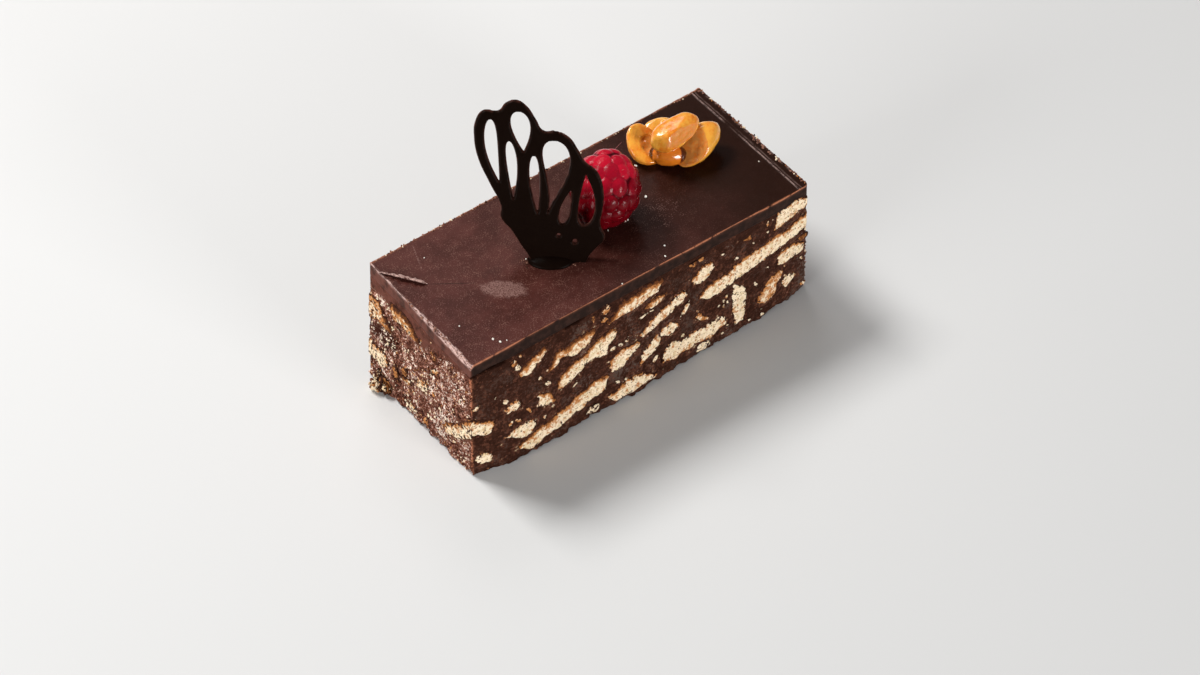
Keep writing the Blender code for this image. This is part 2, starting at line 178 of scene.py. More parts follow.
def ball(rows: int, columns: int) -> tuple:
    """Unit directions of a ball in rings from pole to pole, closed by a fan at each pole.

    Args:
        rows: Steps from pole to pole.
        columns: Steps round a ring.

    Returns:
        The directions, and the faces as quads and triangles.
    """
    polar, turn = np.meshgrid(np.linspace(0, math.pi, rows + 1)[1:-1],
                              np.arange(columns) * 2 * math.pi / columns, indexing="ij")
    ring = np.stack((np.sin(polar) * np.cos(turn), np.sin(polar) * np.sin(turn), np.cos(polar)), -1)
    points = np.vstack(([[0, 0, 1]], ring.reshape(-1, 3), [[0, 0, -1]]))
    here = 1 + np.arange((rows - 1) * columns).reshape(rows - 1, columns)
    after = np.roll(here, -1, axis=1)
    fans = np.vstack((side_by_side(0, here[0], after[0]), side_by_side(here[-1], len(points) - 1, after[-1])))
    return points, [grid_quads(np.column_stack((here, here[:, 0]))).reshape(-1, 4), fans]


def repeated(points: Array, faces: list, **marks: Array) -> Shell:
    """Joins many copies of one small shape.

    Args:
        points: The places of each copy's points, copies by points by three.
        faces: The faces of the first copy.
        marks: For each mark, a value for each point of each copy.

    Returns:
        One shell with all the copies.
    """
    count, size = points.shape[:2]
    step = (np.arange(count) * size)[:, None, None]
    every = [(face[None] + step).reshape(-1, face.shape[1]) for face in faces]
    return Shell(points.reshape(-1, 3), every, {name: value.reshape(-1) for name, value in marks.items()})


def block_skin(counts: tuple, capped: tuple = ()) -> tuple:
    """The skin of a block of cells: whole-number places and faces.

    Each side is a grid of quads on two of the three counts. A capped side has one face all round its
    edge instead.

    Args:
        counts: Cells along each axis.
        capped: Sides with one face, each as (axis, 0 or 1 for its low or high end).

    Returns:
        Places as whole numbers, three to a row, and the faces.
    """
    place = np.stack(np.meshgrid(*[np.arange(count + 1) for count in counts], indexing="ij"), -1)
    sides = [(axis, end) for axis in range(3) for end in (0, 1)]
    skin = np.zeros(place.shape[:3], bool)
    for axis, end in sides:
        if (axis, end) not in capped:
            skin |= place[..., axis] == counts[axis] * end
    number = np.full(skin.shape, -1)
    number[skin] = np.arange(skin.sum())
    faces = []
    for axis, end in sides:
        plane = number.take(counts[axis] * end, axis=axis)
        if (axis, end) in capped:
            side = np.concatenate((plane[:-1, 0], plane[-1, :-1], plane[:0:-1, -1], plane[0, :0:-1]))[None]
        else:
            side = grid_quads(plane).reshape(-1, 4)
        inside_out = (axis == 1) == (end == 1)
        faces.append(side[:, ::-1] if inside_out else side)
    return place[skin], faces


def graded_steps(low: float, high: float, coarse: float, fine: float, spans: tuple) -> Array:
    """Places along a line that stand close together in the given spans.

    The steps per millimetre are added up along the line, and the places are where the sum passes
    whole numbers.

    Args:
        low: Start of the line.
        high: End of the line.
        coarse: Step outside the spans.
        fine: Step inside them.
        spans: Pairs of start and end.

    Returns:
        The places from low to high.
    """
    line = np.linspace(low, high, 4001)
    inside = np.zeros(len(line), bool)
    for start, end in spans:
        inside |= (line >= start) & (line <= end)
    total = np.concatenate(([0], np.cumsum(np.where(inside, 1 / fine, 1 / coarse)[1:] * np.diff(line))))
    return np.interp(np.linspace(0, total[-1], math.ceil(total[-1]) + 1), total, line)


class Side(Enum):
    """A cut face: its two corners, the axis along it and the way into the cake on the other axis."""

    FRONT = (0, 1, 0, 1.0)
    BACK = (3, 2, 0, -1.0)
    LEFT = (0, 3, 1, 1.0)
    RIGHT = (1, 2, 1, -1.0)

    def __init__(self, first: int, last: int, axis: int, way: float) -> None:
        """Keeps the four values under their names."""
        self.first, self.last, self.axis, self.way = first, last, axis, way
        self.is_end = axis == 1

    @property
    def order(self) -> int:
        """Its place among the four, which sets its noise."""
        return list(Side).index(self)

    def holds(self, place: Array, counts: tuple) -> Array:
        """Which places of a block's skin lie on this side."""
        return place[:, 1 - self.axis] == counts[1 - self.axis] * (self.way < 0)


@dataclass(frozen=True)
class SliceForm:
    """The form of the whole slice, whose front foot flares out from its corners."""

    base: tuple = ((-61.0, -25.6), (61.6, -25.6), (61.4, 25.6), (-61.6, 25.2))
    top: tuple = ((-60.1, -24.8), (59.7, -25.7), (59.5, 25.4), (-59.3, 25.0))
    height: float = 44.8
    half: tuple = (60.0, 25.0)      # half the length and depth between the cuts
    foot_wave: tuple = (0.8, -2.3, -2.6, -1.9, -2.6, -1.8, -1.0, -1.4, -0.6, 1.4)

    def corner(self, number: int, height: Array) -> Array:
        """A corner of the straight-sided slice at each height, between its base and top place."""
        share = (height / self.height)[:, None]
        return np.array(self.base[number]) * (1 - share) + np.array(self.top[number]) * share

    def flare(self, share: Array, height: Array) -> Array:
        """How far the front stands out from its corners, at a share of the way along it."""
        wave = np.interp(share, np.linspace(0, 1, len(self.foot_wave)), self.foot_wave)
        return (1 - height / self.height) * wave

    def point(self, u: Array, v: Array, height: Array) -> Array:
        """A point inside the slice.

        Args:
            u: Share of the way from the left to the right end.
            v: Share of the way from the front to the back.
            height: Height above the base.

        Returns:
            Places in millimetres.
        """
        a, b, c, d = (self.corner(number, height) for number in range(4))
        front = a + (b - a) * u[:, None]
        front[:, 1] += self.flare(u, height)
        back = d + (c - d) * u[:, None]
        return np.column_stack((front + (back - front) * v[:, None], height))

    def depth(self, side: Side, along: Array, up: Array) -> Array:
        """Where a face lies on the axis that points into the cake.

        Args:
            side: The cut face.
            along: Place along the face.
            up: Height.

        Returns:
            The face's X or Y at each place.
        """
        axis, other = side.axis, 1 - side.axis
        start, end = self.corner(side.first, up), self.corner(side.last, up)
        near = start[:, axis].copy()
        if side.is_end:
            near += self.flare(np.full(len(up), float(side.first)), up)
        share = (along - near) / (end[:, axis] - near)
        across = start[:, other] + (end[:, other] - start[:, other]) * share
        return across + self.flare(share, up) if side is Side.FRONT else across

    def place(self, side: Side, along: Array, up: Array, inward: Array) -> Array:
        """Points at a depth behind a cut face, in millimetres."""
        across = self.depth(side, along, up) + side.way * inward
        return np.column_stack((across, along, up) if side.is_end else (along, across, up))

    def inward(self, side: Side, points: Array) -> Array:
        """How far points lie behind a cut face."""
        return side.way * (points[:, 1 - side.axis] - self.depth(side, points[:, side.axis], points[:, 2]))

    def softened(self, points: Array, radius: float = 1.4) -> Array:
        """Rounds the upright edge at the right front.

        A square at the corner is brought to a quarter of a disc: each point keeps its direction from
        the disc's middle, and its distance from there becomes the larger of its two offsets.

        Args:
            points: Places in millimetres.
            radius: Radius of the rounding.

        Returns:
            The places, moved where they lie in the corner.
        """
        height = points[:, 2]
        middle = self.corner(1, height) + (-radius, radius)
        middle[:, 1] += self.flare(np.ones(len(height)), height)
        out = (points[:, :2] - middle) * (1, -1)
        length = np.maximum(np.linalg.norm(out, axis=1), 1e-9)
        share = np.where((out > 0).all(axis=1), out.max(axis=1) / length, 1.0)
        return np.column_stack((middle + out * share[:, None] * (1, -1), height))


FORM = SliceForm()


class Recipe:
    """The nodes of one finish, added in the order in which they are wired."""

    def __init__(self, name: str) -> None:
        """Starts a material with its shader and the object's own coordinates.

        Args:
            name: The material's name.
        """
        self.material = bpy.data.materials.new(name)
        self.material.use_nodes = True
        self.tree = self.material.node_tree
        self.shader = self.tree.nodes["Principled BSDF"]
        self.place = self.tree.nodes.new("ShaderNodeTexCoord").outputs["Object"]

    def add(self, kind: str, inputs: dict, output: int = 0, **settings: object) -> bpy.types.NodeSocket:
        """Adds a node.

        Args:
            kind: Blender's name of the node, without its ShaderNode prefix.
            inputs: Values or sockets by the number or name of the input.
            output: Which output is wanted.
            settings: The node's own settings.

        Returns:
            The wanted output.
        """
        node = self.tree.nodes.new("ShaderNode" + kind)
        for setting, value in settings.items():
            setattr(node, setting, value)
        for key, value in inputs.items():
            if isinstance(value, bpy.types.NodeSocket):
                self.tree.links.new(value, node.inputs[key])
            else:
                node.inputs[key].default_value = value
        return node.outputs[output]

    def noise(self, wave: float, detail: float = 2.0, shift: float = 0.0, stretch: tuple = (1, 1, 1)
              ) -> bpy.types.NodeSocket:
        """Noise around 0.5.

        Args:
            wave: About how long its lumps are, in millimetres.
            detail: How many finer layers it has.
            shift: Moves the pattern.
            stretch: Factors on the wave along the three axes.

        Returns:
            The noise at each place.
        """
        size = [1 / (wave * MM * part) for part in stretch]
        place = self.add("Mapping", {0: self.place, 1: (shift,) * 3, 3: size})
        return self.add("TexNoise", {"Vector": place, "Scale": 1.0, "Detail": detail, "Roughness": 0.6})

    def mark(self, name: str) -> bpy.types.NodeSocket:
        """The value that the piece carries at each point under this name."""
        return self.add("Attribute", {}, 2, attribute_name=name)

    def band(self, value: bpy.types.NodeSocket, low: float, high: float) -> bpy.types.NodeSocket:
        """Rises gently from 0 at low to 1 at high; with low above high it falls."""
        start, end, before, after = (low, high, 0.0, 1.0) if low < high else (high, low, 1.0, 0.0)
        return self.add("MapRange", {0: value, 1: start, 2: end, 3: before, 4: after},
                        interpolation_type="SMOOTHSTEP")

    def along(self, axis: int) -> bpy.types.NodeSocket:
        """The place along one axis of the cake, in metres."""
        return self.add("SeparateXYZ", {0: self.place}, axis)

    def sum(self, *terms: object) -> bpy.types.NodeSocket:
        """Adds values.

        Args:
            terms: Sockets or numbers, each alone or as a pair with its factor.

        Returns:
            Their sum.
        """
        total = 0.0
        for term in terms:
            value, factor = term if isinstance(term, tuple) else (term, 1.0)
            total = self.add("Math", {0: value, 1: factor, 2: total}, operation="MULTIPLY_ADD")
        return total

    def product(self, first: object, second: object) -> bpy.types.NodeSocket:
        """Multiplies two values."""
        return self.add("Math", {0: first, 1: second}, operation="MULTIPLY")

    def blend(self, share: object, first: object, second: object) -> bpy.types.NodeSocket:
        """A colour between two, by a share from 0 to 1."""
        ends = [(*end, 1.0) if isinstance(end, tuple) else end for end in (first, second)]
        return self.add("Mix", {0: share, 6: ends[0], 7: ends[1]}, 2, data_type="RGBA")

    def ramp(self, value: bpy.types.NodeSocket, stops: tuple) -> bpy.types.NodeSocket:
        """Reads a colour off a scale.

        Args:
            value: The place on the scale.
            stops: Places from 0 to 1, each with its colour.

        Returns:
            The colour between the two stops round the value.
        """
        node = self.tree.nodes.new("ShaderNodeValToRGB")
        elements = node.color_ramp.elements
        while len(elements) < len(stops):
            elements.new(0.5)
        for element, (place, colour) in zip(elements, stops):
            element.position = place
            element.color = (*colour, 1.0)
        self.tree.links.new(value, node.inputs[0])
        return node.outputs[0]

    def patch(self, middle: tuple, turn: float, half: tuple, ragged: float = 0.0) -> bpy.types.NodeSocket:
        """A patch on the top face: 1 inside an oval and 0 outside it.

        Args:
            middle: Its centre along X and Y in millimetres.
            turn: Degrees from X to its long way.
            half: Half its length and width in millimetres.
            ragged: How far its edge wanders, as a share of its size.

        Returns:
            The share of the patch at each place.
        """
        moved = self.add("VectorMath", {0: self.place, 1: (middle[0] * MM, middle[1] * MM, 0.0)},
                         operation="SUBTRACT")
        spun = self.add("VectorRotate", {"Vector": moved, "Angle": -math.radians(turn)},
                        rotation_type="Z_AXIS")
        flat = self.add("VectorMath", {0: spun, 1: (1 / (half[0] * MM), 1 / (half[1] * MM), 0.0)},
                        operation="MULTIPLY")
        reach = self.add("VectorMath", {0: flat}, 1, operation="LENGTH")
        if ragged:
            reach = self.sum(reach, (self.noise(1.6, 4.0), 2 * ragged))
        return self.band(reach, 1.15 + ragged, 0.75 + ragged)

    def layers(self, colour: object, *coats: tuple) -> object:
        """Lays coats over a colour.

        Args:
            colour: The colour underneath.
            coats: For each coat its share from 0 to 1, its strength and its colour.

        Returns:
            The colour with every coat on it.
        """
        for share, strength, coat in coats:
            colour = self.blend(self.product(share, strength) if strength < 1 else share, colour, coat)
        return colour

    def bump(self, height: bpy.types.NodeSocket, depth: float) -> None:
        """Raises the surface by a height times a depth in millimetres."""
        normal = self.add("Bump", {"Height": height, "Distance": depth * MM, "Strength": 1.0})
        self.tree.links.new(normal, self.shader.inputs["Normal"])

    def done(self, colour: bpy.types.NodeSocket, roughness: object, **numbers: float) -> bpy.types.Material:
        """Finishes the material.

        Args:
            colour: Its colour.
            roughness: A socket or a number.
            numbers: Constant numbers for other inputs of the shader, by their names in lower case.

        Returns:
            The material.
        """
        self.tree.links.new(colour, self.shader.inputs["Base Color"])
        if isinstance(roughness, bpy.types.NodeSocket):
            self.tree.links.new(roughness, self.shader.inputs["Roughness"])
        else:
            self.shader.inputs["Roughness"].default_value = roughness
        for name, value in numbers.items():
            self.shader.inputs[name.replace("_", " ").title().replace("Ior", "IOR")].default_value = value
        return self.material


@dataclass(frozen=True)
class CocoaFinish:
    """Cut cocoa mass: dark and close on the long cut, paler and crumbly on the ends."""

    deep: tuple = (0.0260, 0.0090, 0.0052)
    dark: tuple = (0.0460, 0.0170, 0.0106)
    pit: tuple = (0.022, 0.0060, 0.0036)
    soil: tuple = (0.085, 0.023, 0.012)
    damp: tuple = (0.040, 0.0115, 0.0072)
    crumb: tuple = (0.200, 0.076, 0.049)
    light: tuple = (0.47, 0.235, 0.175)
    pale: tuple = (0.95, 0.82, 0.70)
    fleck: tuple = (0.125, 0.047, 0.028)
    haze: tuple = (0.140, 0.049, 0.035)
    # painted highlight along the lit front-left corner
    lit_edge: tuple = (0.46, 0.165, 0.085)
    gap: tuple = (0.0035, 0.0011, 0.0006)       # painted shade inside the open joint under the glaze

    def material(self) -> bpy.types.Material:
        """Mixes noise of several sizes, with more pale crumb where the marks say so.

        Returns:
            The finish of the mass.
        """
        mix = Recipe("cocoa_mass")
        crumbly = mix.mark("crumbly")
        coarse, fine, grain = mix.noise(3.2, 4.0), mix.noise(1.2, 3.0, 5.0), mix.noise(0.62, 2.0, 9.0)
        smooth = mix.blend(mix.band(mix.sum((coarse, 0.6), (fine, 0.5)), 0.45, 0.72), self.deep, self.dark)
        close = mix.product(mix.band(mix.sum(mix.along(2), (coarse, 0.006), -0.003), 0.033, 0.038),
                            mix.band(mix.along(0), -0.030, -0.044))
        smooth = mix.blend(mix.product(close, 0.8), smooth, self.deep)
        colour = mix.blend(mix.product(mix.mark("haze"), mix.band(coarse, 0.2, 0.6)), smooth, self.haze)
        broad = mix.noise(7.0, 2.0, 41.0)
        mottle = mix.sum((broad, 0.62), (coarse, 0.30), (fine, 0.50), (grain, 0.68), -0.49)
        rough = mix.ramp(mottle, ((0.435, self.pit), (0.485, self.soil), (0.565, self.crumb),
                                  (0.64, self.light), (0.705, self.pale)))
        rough = mix.blend(mix.product(mix.mark("damp"), mix.band(mottle, 0.70, 0.60)), rough, self.damp)
        colour = mix.blend(crumbly, colour, rough)
        spots = mix.sum((mix.noise(0.9, 3.0, 19.0), 0.6), (mix.noise(2.6, 3.0, 14.0), 0.5),
                        (mix.mark("debris"), 0.10))
        # the edge mark lays a painted highlight on the front-left corner
        edge = mix.product(mix.mark("edge"), mix.band(mix.sum((fine, 0.5), (grain, 0.6)), 0.47, 0.62))
        # the last coat paints shade into the open joint under the glaze
        colour = mix.layers(colour, (mix.band(spots, 0.585, 0.70), 0.65, self.fleck),
                            (mix.band(spots, 0.735, 0.79), 0.5, BiscuitFinish.shade),
                            (edge, 1, self.lit_edge), (mix.mark("crack"), 1, self.gap))
        mix.bump(mix.sum((fine, 0.6), (grain, 0.7), (mix.noise(0.3, 2.0), 0.25)), 0.45)
        return mix.done(colour, mix.sum((crumbly, 0.2), 0.60), specular_ior_level=0.02)


@dataclass(frozen=True)
class BiscuitFinish:
    """Broken biscuit: cream and full of fine pores, with toasted skins."""

    cream: tuple = (0.86, 0.71, 0.52)
    shade: tuple = (0.70, 0.545, 0.335)
    pore: tuple = (0.27, 0.165, 0.090)
    toast: tuple = (0.47, 0.190, 0.060)
    brown: tuple = (0.125, 0.040, 0.013)

    def material(self) -> bpy.types.Material:
        """Mixes cream with pores, then toast and brown as the mark rises, and smears cocoa over it.

        Returns:
            The finish of the biscuits.
        """
        mix = Recipe("biscuit")
        fine, grain = mix.noise(1.3, 3.0), mix.noise(0.6, 2.0, 7.0)
        holes = mix.sum((grain, 0.75), (mix.noise(2.4, 2.0, 3.0), 0.25))
        level = mix.sum(mix.mark("toast"), (mix.noise(1.5, 4.0, 11.0), 1.7), (grain, 0.6), -1.20)
        smear = mix.sum((mix.mark("smear"), 0.85), (mix.noise(1.0, 3.0, 21.0), 3.2), (grain, 0.6), -1.84)
        colour = mix.layers(self.cream, (mix.band(fine, 0.44, 0.66), 1, self.shade),
                            (mix.band(holes, 0.565, 0.635), 1, self.pore),
                            (mix.band(level, 0.10, 0.42), 1, self.toast),
                            (mix.band(level, 0.48, 0.85), 1, self.brown),
                            (mix.band(smear, 0.52, 0.70), 1, CocoaFinish.dark))
        mix.bump(mix.sum((fine, 0.5), (grain, 0.9)), 0.40)
        return mix.done(colour, 0.85, specular_ior_level=0.05)


@dataclass(frozen=True)
class GlazeFinish:
    """Set dark glaze: satin and dusted with fine specks, paler where it is rubbed or broken, with painted
    shade towards the right end, a painted sheen right of the berry and a painted highlight on the front top
    edge.
    """

    dark: tuple = (0.0490, 0.0125, 0.0092)
    warm: tuple = (0.0740, 0.0205, 0.0160)
    shaded_right_end: tuple = (0.0130, 0.0038, 0.0013)     # painted shade towards the right end, standing in for the fall-off of the light
    speck: tuple = (0.20, 0.092, 0.072)
    bloom: tuple = (0.23, 0.125, 0.108)
    lip: tuple = (0.54, 0.365, 0.325)
    # painted highlight of the lit front top edge, also the pale line along the back edge
    edge: tuple = (0.50, 0.185, 0.095)
    close: tuple = (0.0140, 0.0058, 0.0038)     # these two on the cut sides
    cut: tuple = (0.0310, 0.0130, 0.0088)
    furrow: tuple = (0.012, 0.004, 0.003)       # a dark scratch

    def material(self) -> bpy.types.Material:
        """Mixes two browns, specks, a rubbed patch, faint scratches and pale lips by their mark, and paints
        shade towards the right end, a sheen patch and a highlight on the front top edge.

        Returns:
            The finish of the glaze.
        """
        mix = Recipe("glaze")
        grain = mix.noise(0.38, 2.0, 4.0)
        colour = mix.blend(mix.band(mix.noise(9.0, 3.0), 0.35, 0.65), self.dark, self.warm)
        specks = mix.band(mix.sum((grain, 0.8), (mix.noise(2.2, 2.0, 8.0), 0.3)), 0.58, 0.70)
        # the glaze is painted darker towards the right end, as shade
        right_end_shade = mix.band(mix.sum(mix.along(0), (mix.noise(14.0, 2.0, 31.0), 0.03), -0.015), -0.032, 0.052)
        # a patch of pale specks right of the berry: a painted sheen of the light on the glaze
        sheen_specks = mix.product(mix.patch((16.5, -8.5), -10.0, (9.0, 6.0), 0.4), mix.band(specks, 0.35, 0.95))
        rubbed = mix.product(mix.patch((-35.0, -6.2), -42.0, (6.6, 3.3), 0.35), mix.band(grain, 0.30, 0.62))
        worn = mix.band(mix.noise(0.8, 2.0), 0.4, 0.6)
        scratch = mix.product(mix.patch((-47.3, 18.4), 70.0, (5.4, 0.26)), worn)
        furrow = mix.patch((-45.4, 4.4), -35.0, (7.0, 0.22))
        cut = mix.blend(mix.band(mix.noise(2.5, 3.0), 0.4, 0.7), self.close, self.cut)
        haze = mix.product(mix.mark("haze"), mix.band(mix.noise(3.2, 4.0), 0.2, 0.6))
        rough = mix.sum((grain, 0.6), (mix.noise(1.3, 3.0), 0.6))
        streaks = mix.sum((grain, 0.45), (mix.noise(0.8, 3.0, 0.0, (0.4, 3.0, 1.0)), 0.75))
        pale = mix.product(mix.mark("pale"), mix.band(streaks, 0.47, 0.67))
        # the line mark paints a highlight on the front and right top edges, and a pale line along the back
        line = mix.product(mix.mark("line"), mix.band(rough, 0.35, 0.60))
        colour = mix.layers(colour, (specks, 0.58, self.speck), (right_end_shade, 0.92, self.shaded_right_end),
                            (sheen_specks, 0.6, self.bloom), (rubbed, 0.95, self.bloom), (scratch, 0.55, self.bloom),
                            (furrow, 0.6, self.furrow), (mix.mark("cut"), 1, cut),
                            (haze, 1, CocoaFinish.haze), (pale, 1, self.lip), (line, 1, self.edge))
        mix.bump(mix.sum((grain, 0.35), (mix.noise(1.6, 2.0, 2.0), 0.25)), 0.10)
        roughness = mix.sum((grain, 0.14), (mix.mark("cut"), 0.30), 0.27)
        return mix.done(colour, roughness, specular_ior_level=0.08)


@dataclass(frozen=True)
class LaceFinish:
    """Thin black chocolate, with a painted reddish glow of caught light at its edges."""

    body: tuple = (0.0042, 0.0019, 0.0012)
    lighter: tuple = (0.006, 0.0028, 0.0018)
    # painted glow of light caught at the edges of the openings
    edge: tuple = (0.085, 0.030, 0.022)

    def material(self) -> bpy.types.Material:
        """Blends from the painted edge glow to the body by the mark, with a faint unevenness.

        Returns:
            The finish of the lace.
        """
        mix = Recipe("chocolate_lace")
        uneven = mix.noise(2.5, 3.0)
        rim = mix.product(mix.mark("rim"), mix.band(uneven, 0.3, 0.6))
        colour = mix.blend(rim, mix.blend(uneven, self.body, self.lighter), self.edge)
        mix.bump(mix.sum((uneven, 0.6), (mix.noise(0.7, 2.0), 0.2)), 0.10)
        return mix.done(colour, mix.sum((uneven, 0.2), 0.25), specular_ior_level=0.02)


@dataclass(frozen=True)
class BerryFinish:
    """Raspberry skin: bright where full, with painted shade in the seams and towards its foot."""

    bright: tuple = (0.52, 0.0065, 0.026)
    deep: tuple = (0.245, 0.0030, 0.014)
    # painted shade in the seams between drupelets
    seam_shade: tuple = (0.105, 0.0014, 0.008)
    # pale bloom, which the facing term also lays on as a painted sheen at grazing angles
    bloom: tuple = (0.60, 0.11, 0.17)
    # painted shade on the lower part of the berry, where the lace shades it
    low_shade: tuple = (0.080, 0.0004, 0.0020)

    def material(self) -> bpy.types.Material:
        """Goes from bright to deep by the drupelet's own shade, with painted shade downwards and in the
        seams, and a pale bloom that is partly a painted sheen.

        Returns:
            The finish of the berry.
        """
        mix = Recipe("raspberry")
        fine = mix.noise(0.8, 3.0)
        colour = mix.blend(mix.sum(mix.mark("shade"), (fine, 0.5), -0.25), self.bright, self.deep)
        # painted shade downwards on the berry
        low = mix.band(mix.sum(mix.along(2), (mix.noise(4.0, 2.0, 9.0), 0.006), -0.003), 0.0648, 0.0580)
        bloom_and_sheen = mix.band(mix.sum((fine, 0.7), (mix.noise(2.4, 2.0, 6.0), 0.5)), 0.70, 0.85)
        # the facing term lays the bloom on as a painted sheen at grazing angles
        facing = mix.add("LayerWeight", {"Blend": 0.30}, 1)
        bloom_and_sheen = mix.sum((bloom_and_sheen, 0.30), (mix.product(facing, fine), 0.16))
        colour = mix.layers(colour, (mix.band(mix.mark("seam_shade"), 0.35, 0.95), 1, self.seam_shade),
                            (bloom_and_sheen, 1, self.bloom), (low, 0.90, self.low_shade))
        mix.bump(mix.sum((fine, 0.6), (mix.noise(0.35, 2.0), 0.35)), 0.16)
        return mix.done(colour, mix.sum((fine, 0.20), 0.10), specular_ior_level=0.07, subsurface_weight=0.06,
                        subsurface_scale=0.002, coat_weight=0.10, coat_roughness=0.05)


@dataclass(frozen=True)
class CaramelFinish:
    """Caramelised peanut: golden glossy skin, tan where it is bare, amber where caramel has pooled, and
    painted shade where the nuts touch and at their foot.
    """

    gold: tuple = (0.80, 0.215, 0.016)
    straw: tuple = (0.90, 0.410, 0.052)
    tan: tuple = (0.74, 0.275, 0.048)
    amber: tuple = (0.42, 0.075, 0.003)
    # painted shade where the nuts touch
    brown: tuple = (0.06, 0.012, 0.004)

    def material(self) -> bpy.types.Material:
        """Blends straw and gold, then tan, amber and brown by their marks, the brown as painted shade.

        Returns:
            The finish of the peanuts.
        """
        mix = Recipe("caramel_peanut")
        broad, fine = mix.noise(4.5, 3.0), mix.noise(1.2, 3.0, 3.0)
        colour = mix.blend(mix.band(mix.sum((broad, 0.7), (fine, 0.3), (mix.mark("fair"), -0.5)), 0.13, 0.37),
                           self.straw, self.gold)
        bare = mix.band(mix.sum(mix.mark("bare"), (fine, 0.5), -0.25), 0.25, 0.65)
        inner = mix.blend(mix.band(fine, 0.4, 0.7), self.tan, self.gold)
        # pooled caramel, with painted shade where the nuts touch and at their foot
        pool_and_shade = mix.sum(mix.mark("pool_and_shade"), (broad, 0.6), -0.3)
        colour = mix.layers(colour, (bare, 1, inner), (mix.band(pool_and_shade, 0.25, 0.75), 1, self.amber),
                            (mix.band(pool_and_shade, 0.80, 1.15), 1, self.brown))
        mix.bump(mix.sum((fine, 0.6), (mix.noise(0.6, 2.0), 0.2)), 0.26)
        return mix.done(colour, mix.sum((bare, 0.35), (fine, 0.1), 0.12), specular_ior_level=0.22,
                        coat_weight=0.95, coat_roughness=0.15, subsurface_weight=0.04, subsurface_scale=0.002)


@dataclass(frozen=True)
class CrumbFinish:
    """Loose bits: each has its own place between brown glaze, toasted crumb and pale crumb."""

    tones: tuple = ((0.05, CocoaFinish.dark), (0.25, CocoaFinish.crumb), (0.40, (0.30, 0.16, 0.12)),
                    (0.50, BiscuitFinish.brown), (0.64, BiscuitFinish.toast), (0.85, BiscuitFinish.cream))

    def material(self) -> bpy.types.Material:
        """Reads the bit's tone and breaks it up with grain.

        Returns:
            The finish of the loose bits.
        """
        mix = Recipe("crumbs")
        tone = mix.sum(mix.mark("tone"), (mix.noise(0.7, 3.0), 0.5), -0.25)
        colour = mix.ramp(tone, self.tones)
        mix.bump(mix.noise(0.4, 3.0), 0.2)
        return mix.done(colour, 0.75, specular_ior_level=0.12)


@dataclass(frozen=True)
class SugarFinish:
    """Clear to white sugar crystals and fine pale hairs."""

    name: str = "sugar"
    light: tuple = (0.93, 0.90, 0.84)
    shade: tuple = (0.72, 0.66, 0.56)
    roughness: float = 0.25

    def material(self) -> bpy.types.Material:
        """Mottles the light colour with the shade.

        Returns:
            The finish under its own name.
        """
        mix = Recipe(self.name)
        colour = mix.blend(mix.band(mix.noise(0.5, 2.0), 0.4, 0.7), self.light, self.shade)
        return mix.done(colour, self.roughness, specular_ior_level=0.5)


@dataclass(frozen=True)
class Cut:
    """A biscuit as it shows in a cut face: its low and high edge at even steps along its tilted line."""

    side: Side
    number: int
    along: float
    up: float
    tilt: float
    start: float
    end: float
    toast: tuple        # of the upper edge, the lower edge and all over
    low: tuple
    high: tuple

    @property
    def turn(self) -> float:
        """Its tilt in radians."""
        return math.radians(self.tilt)

    def spot(self, along: Array, over: Array) -> tuple:
        """Where places along its line and over it lie: along the face, and their height."""
        return (self.along + along * math.cos(self.turn) - over * math.sin(self.turn),
                self.up + along * math.sin(self.turn) + over * math.cos(self.turn))


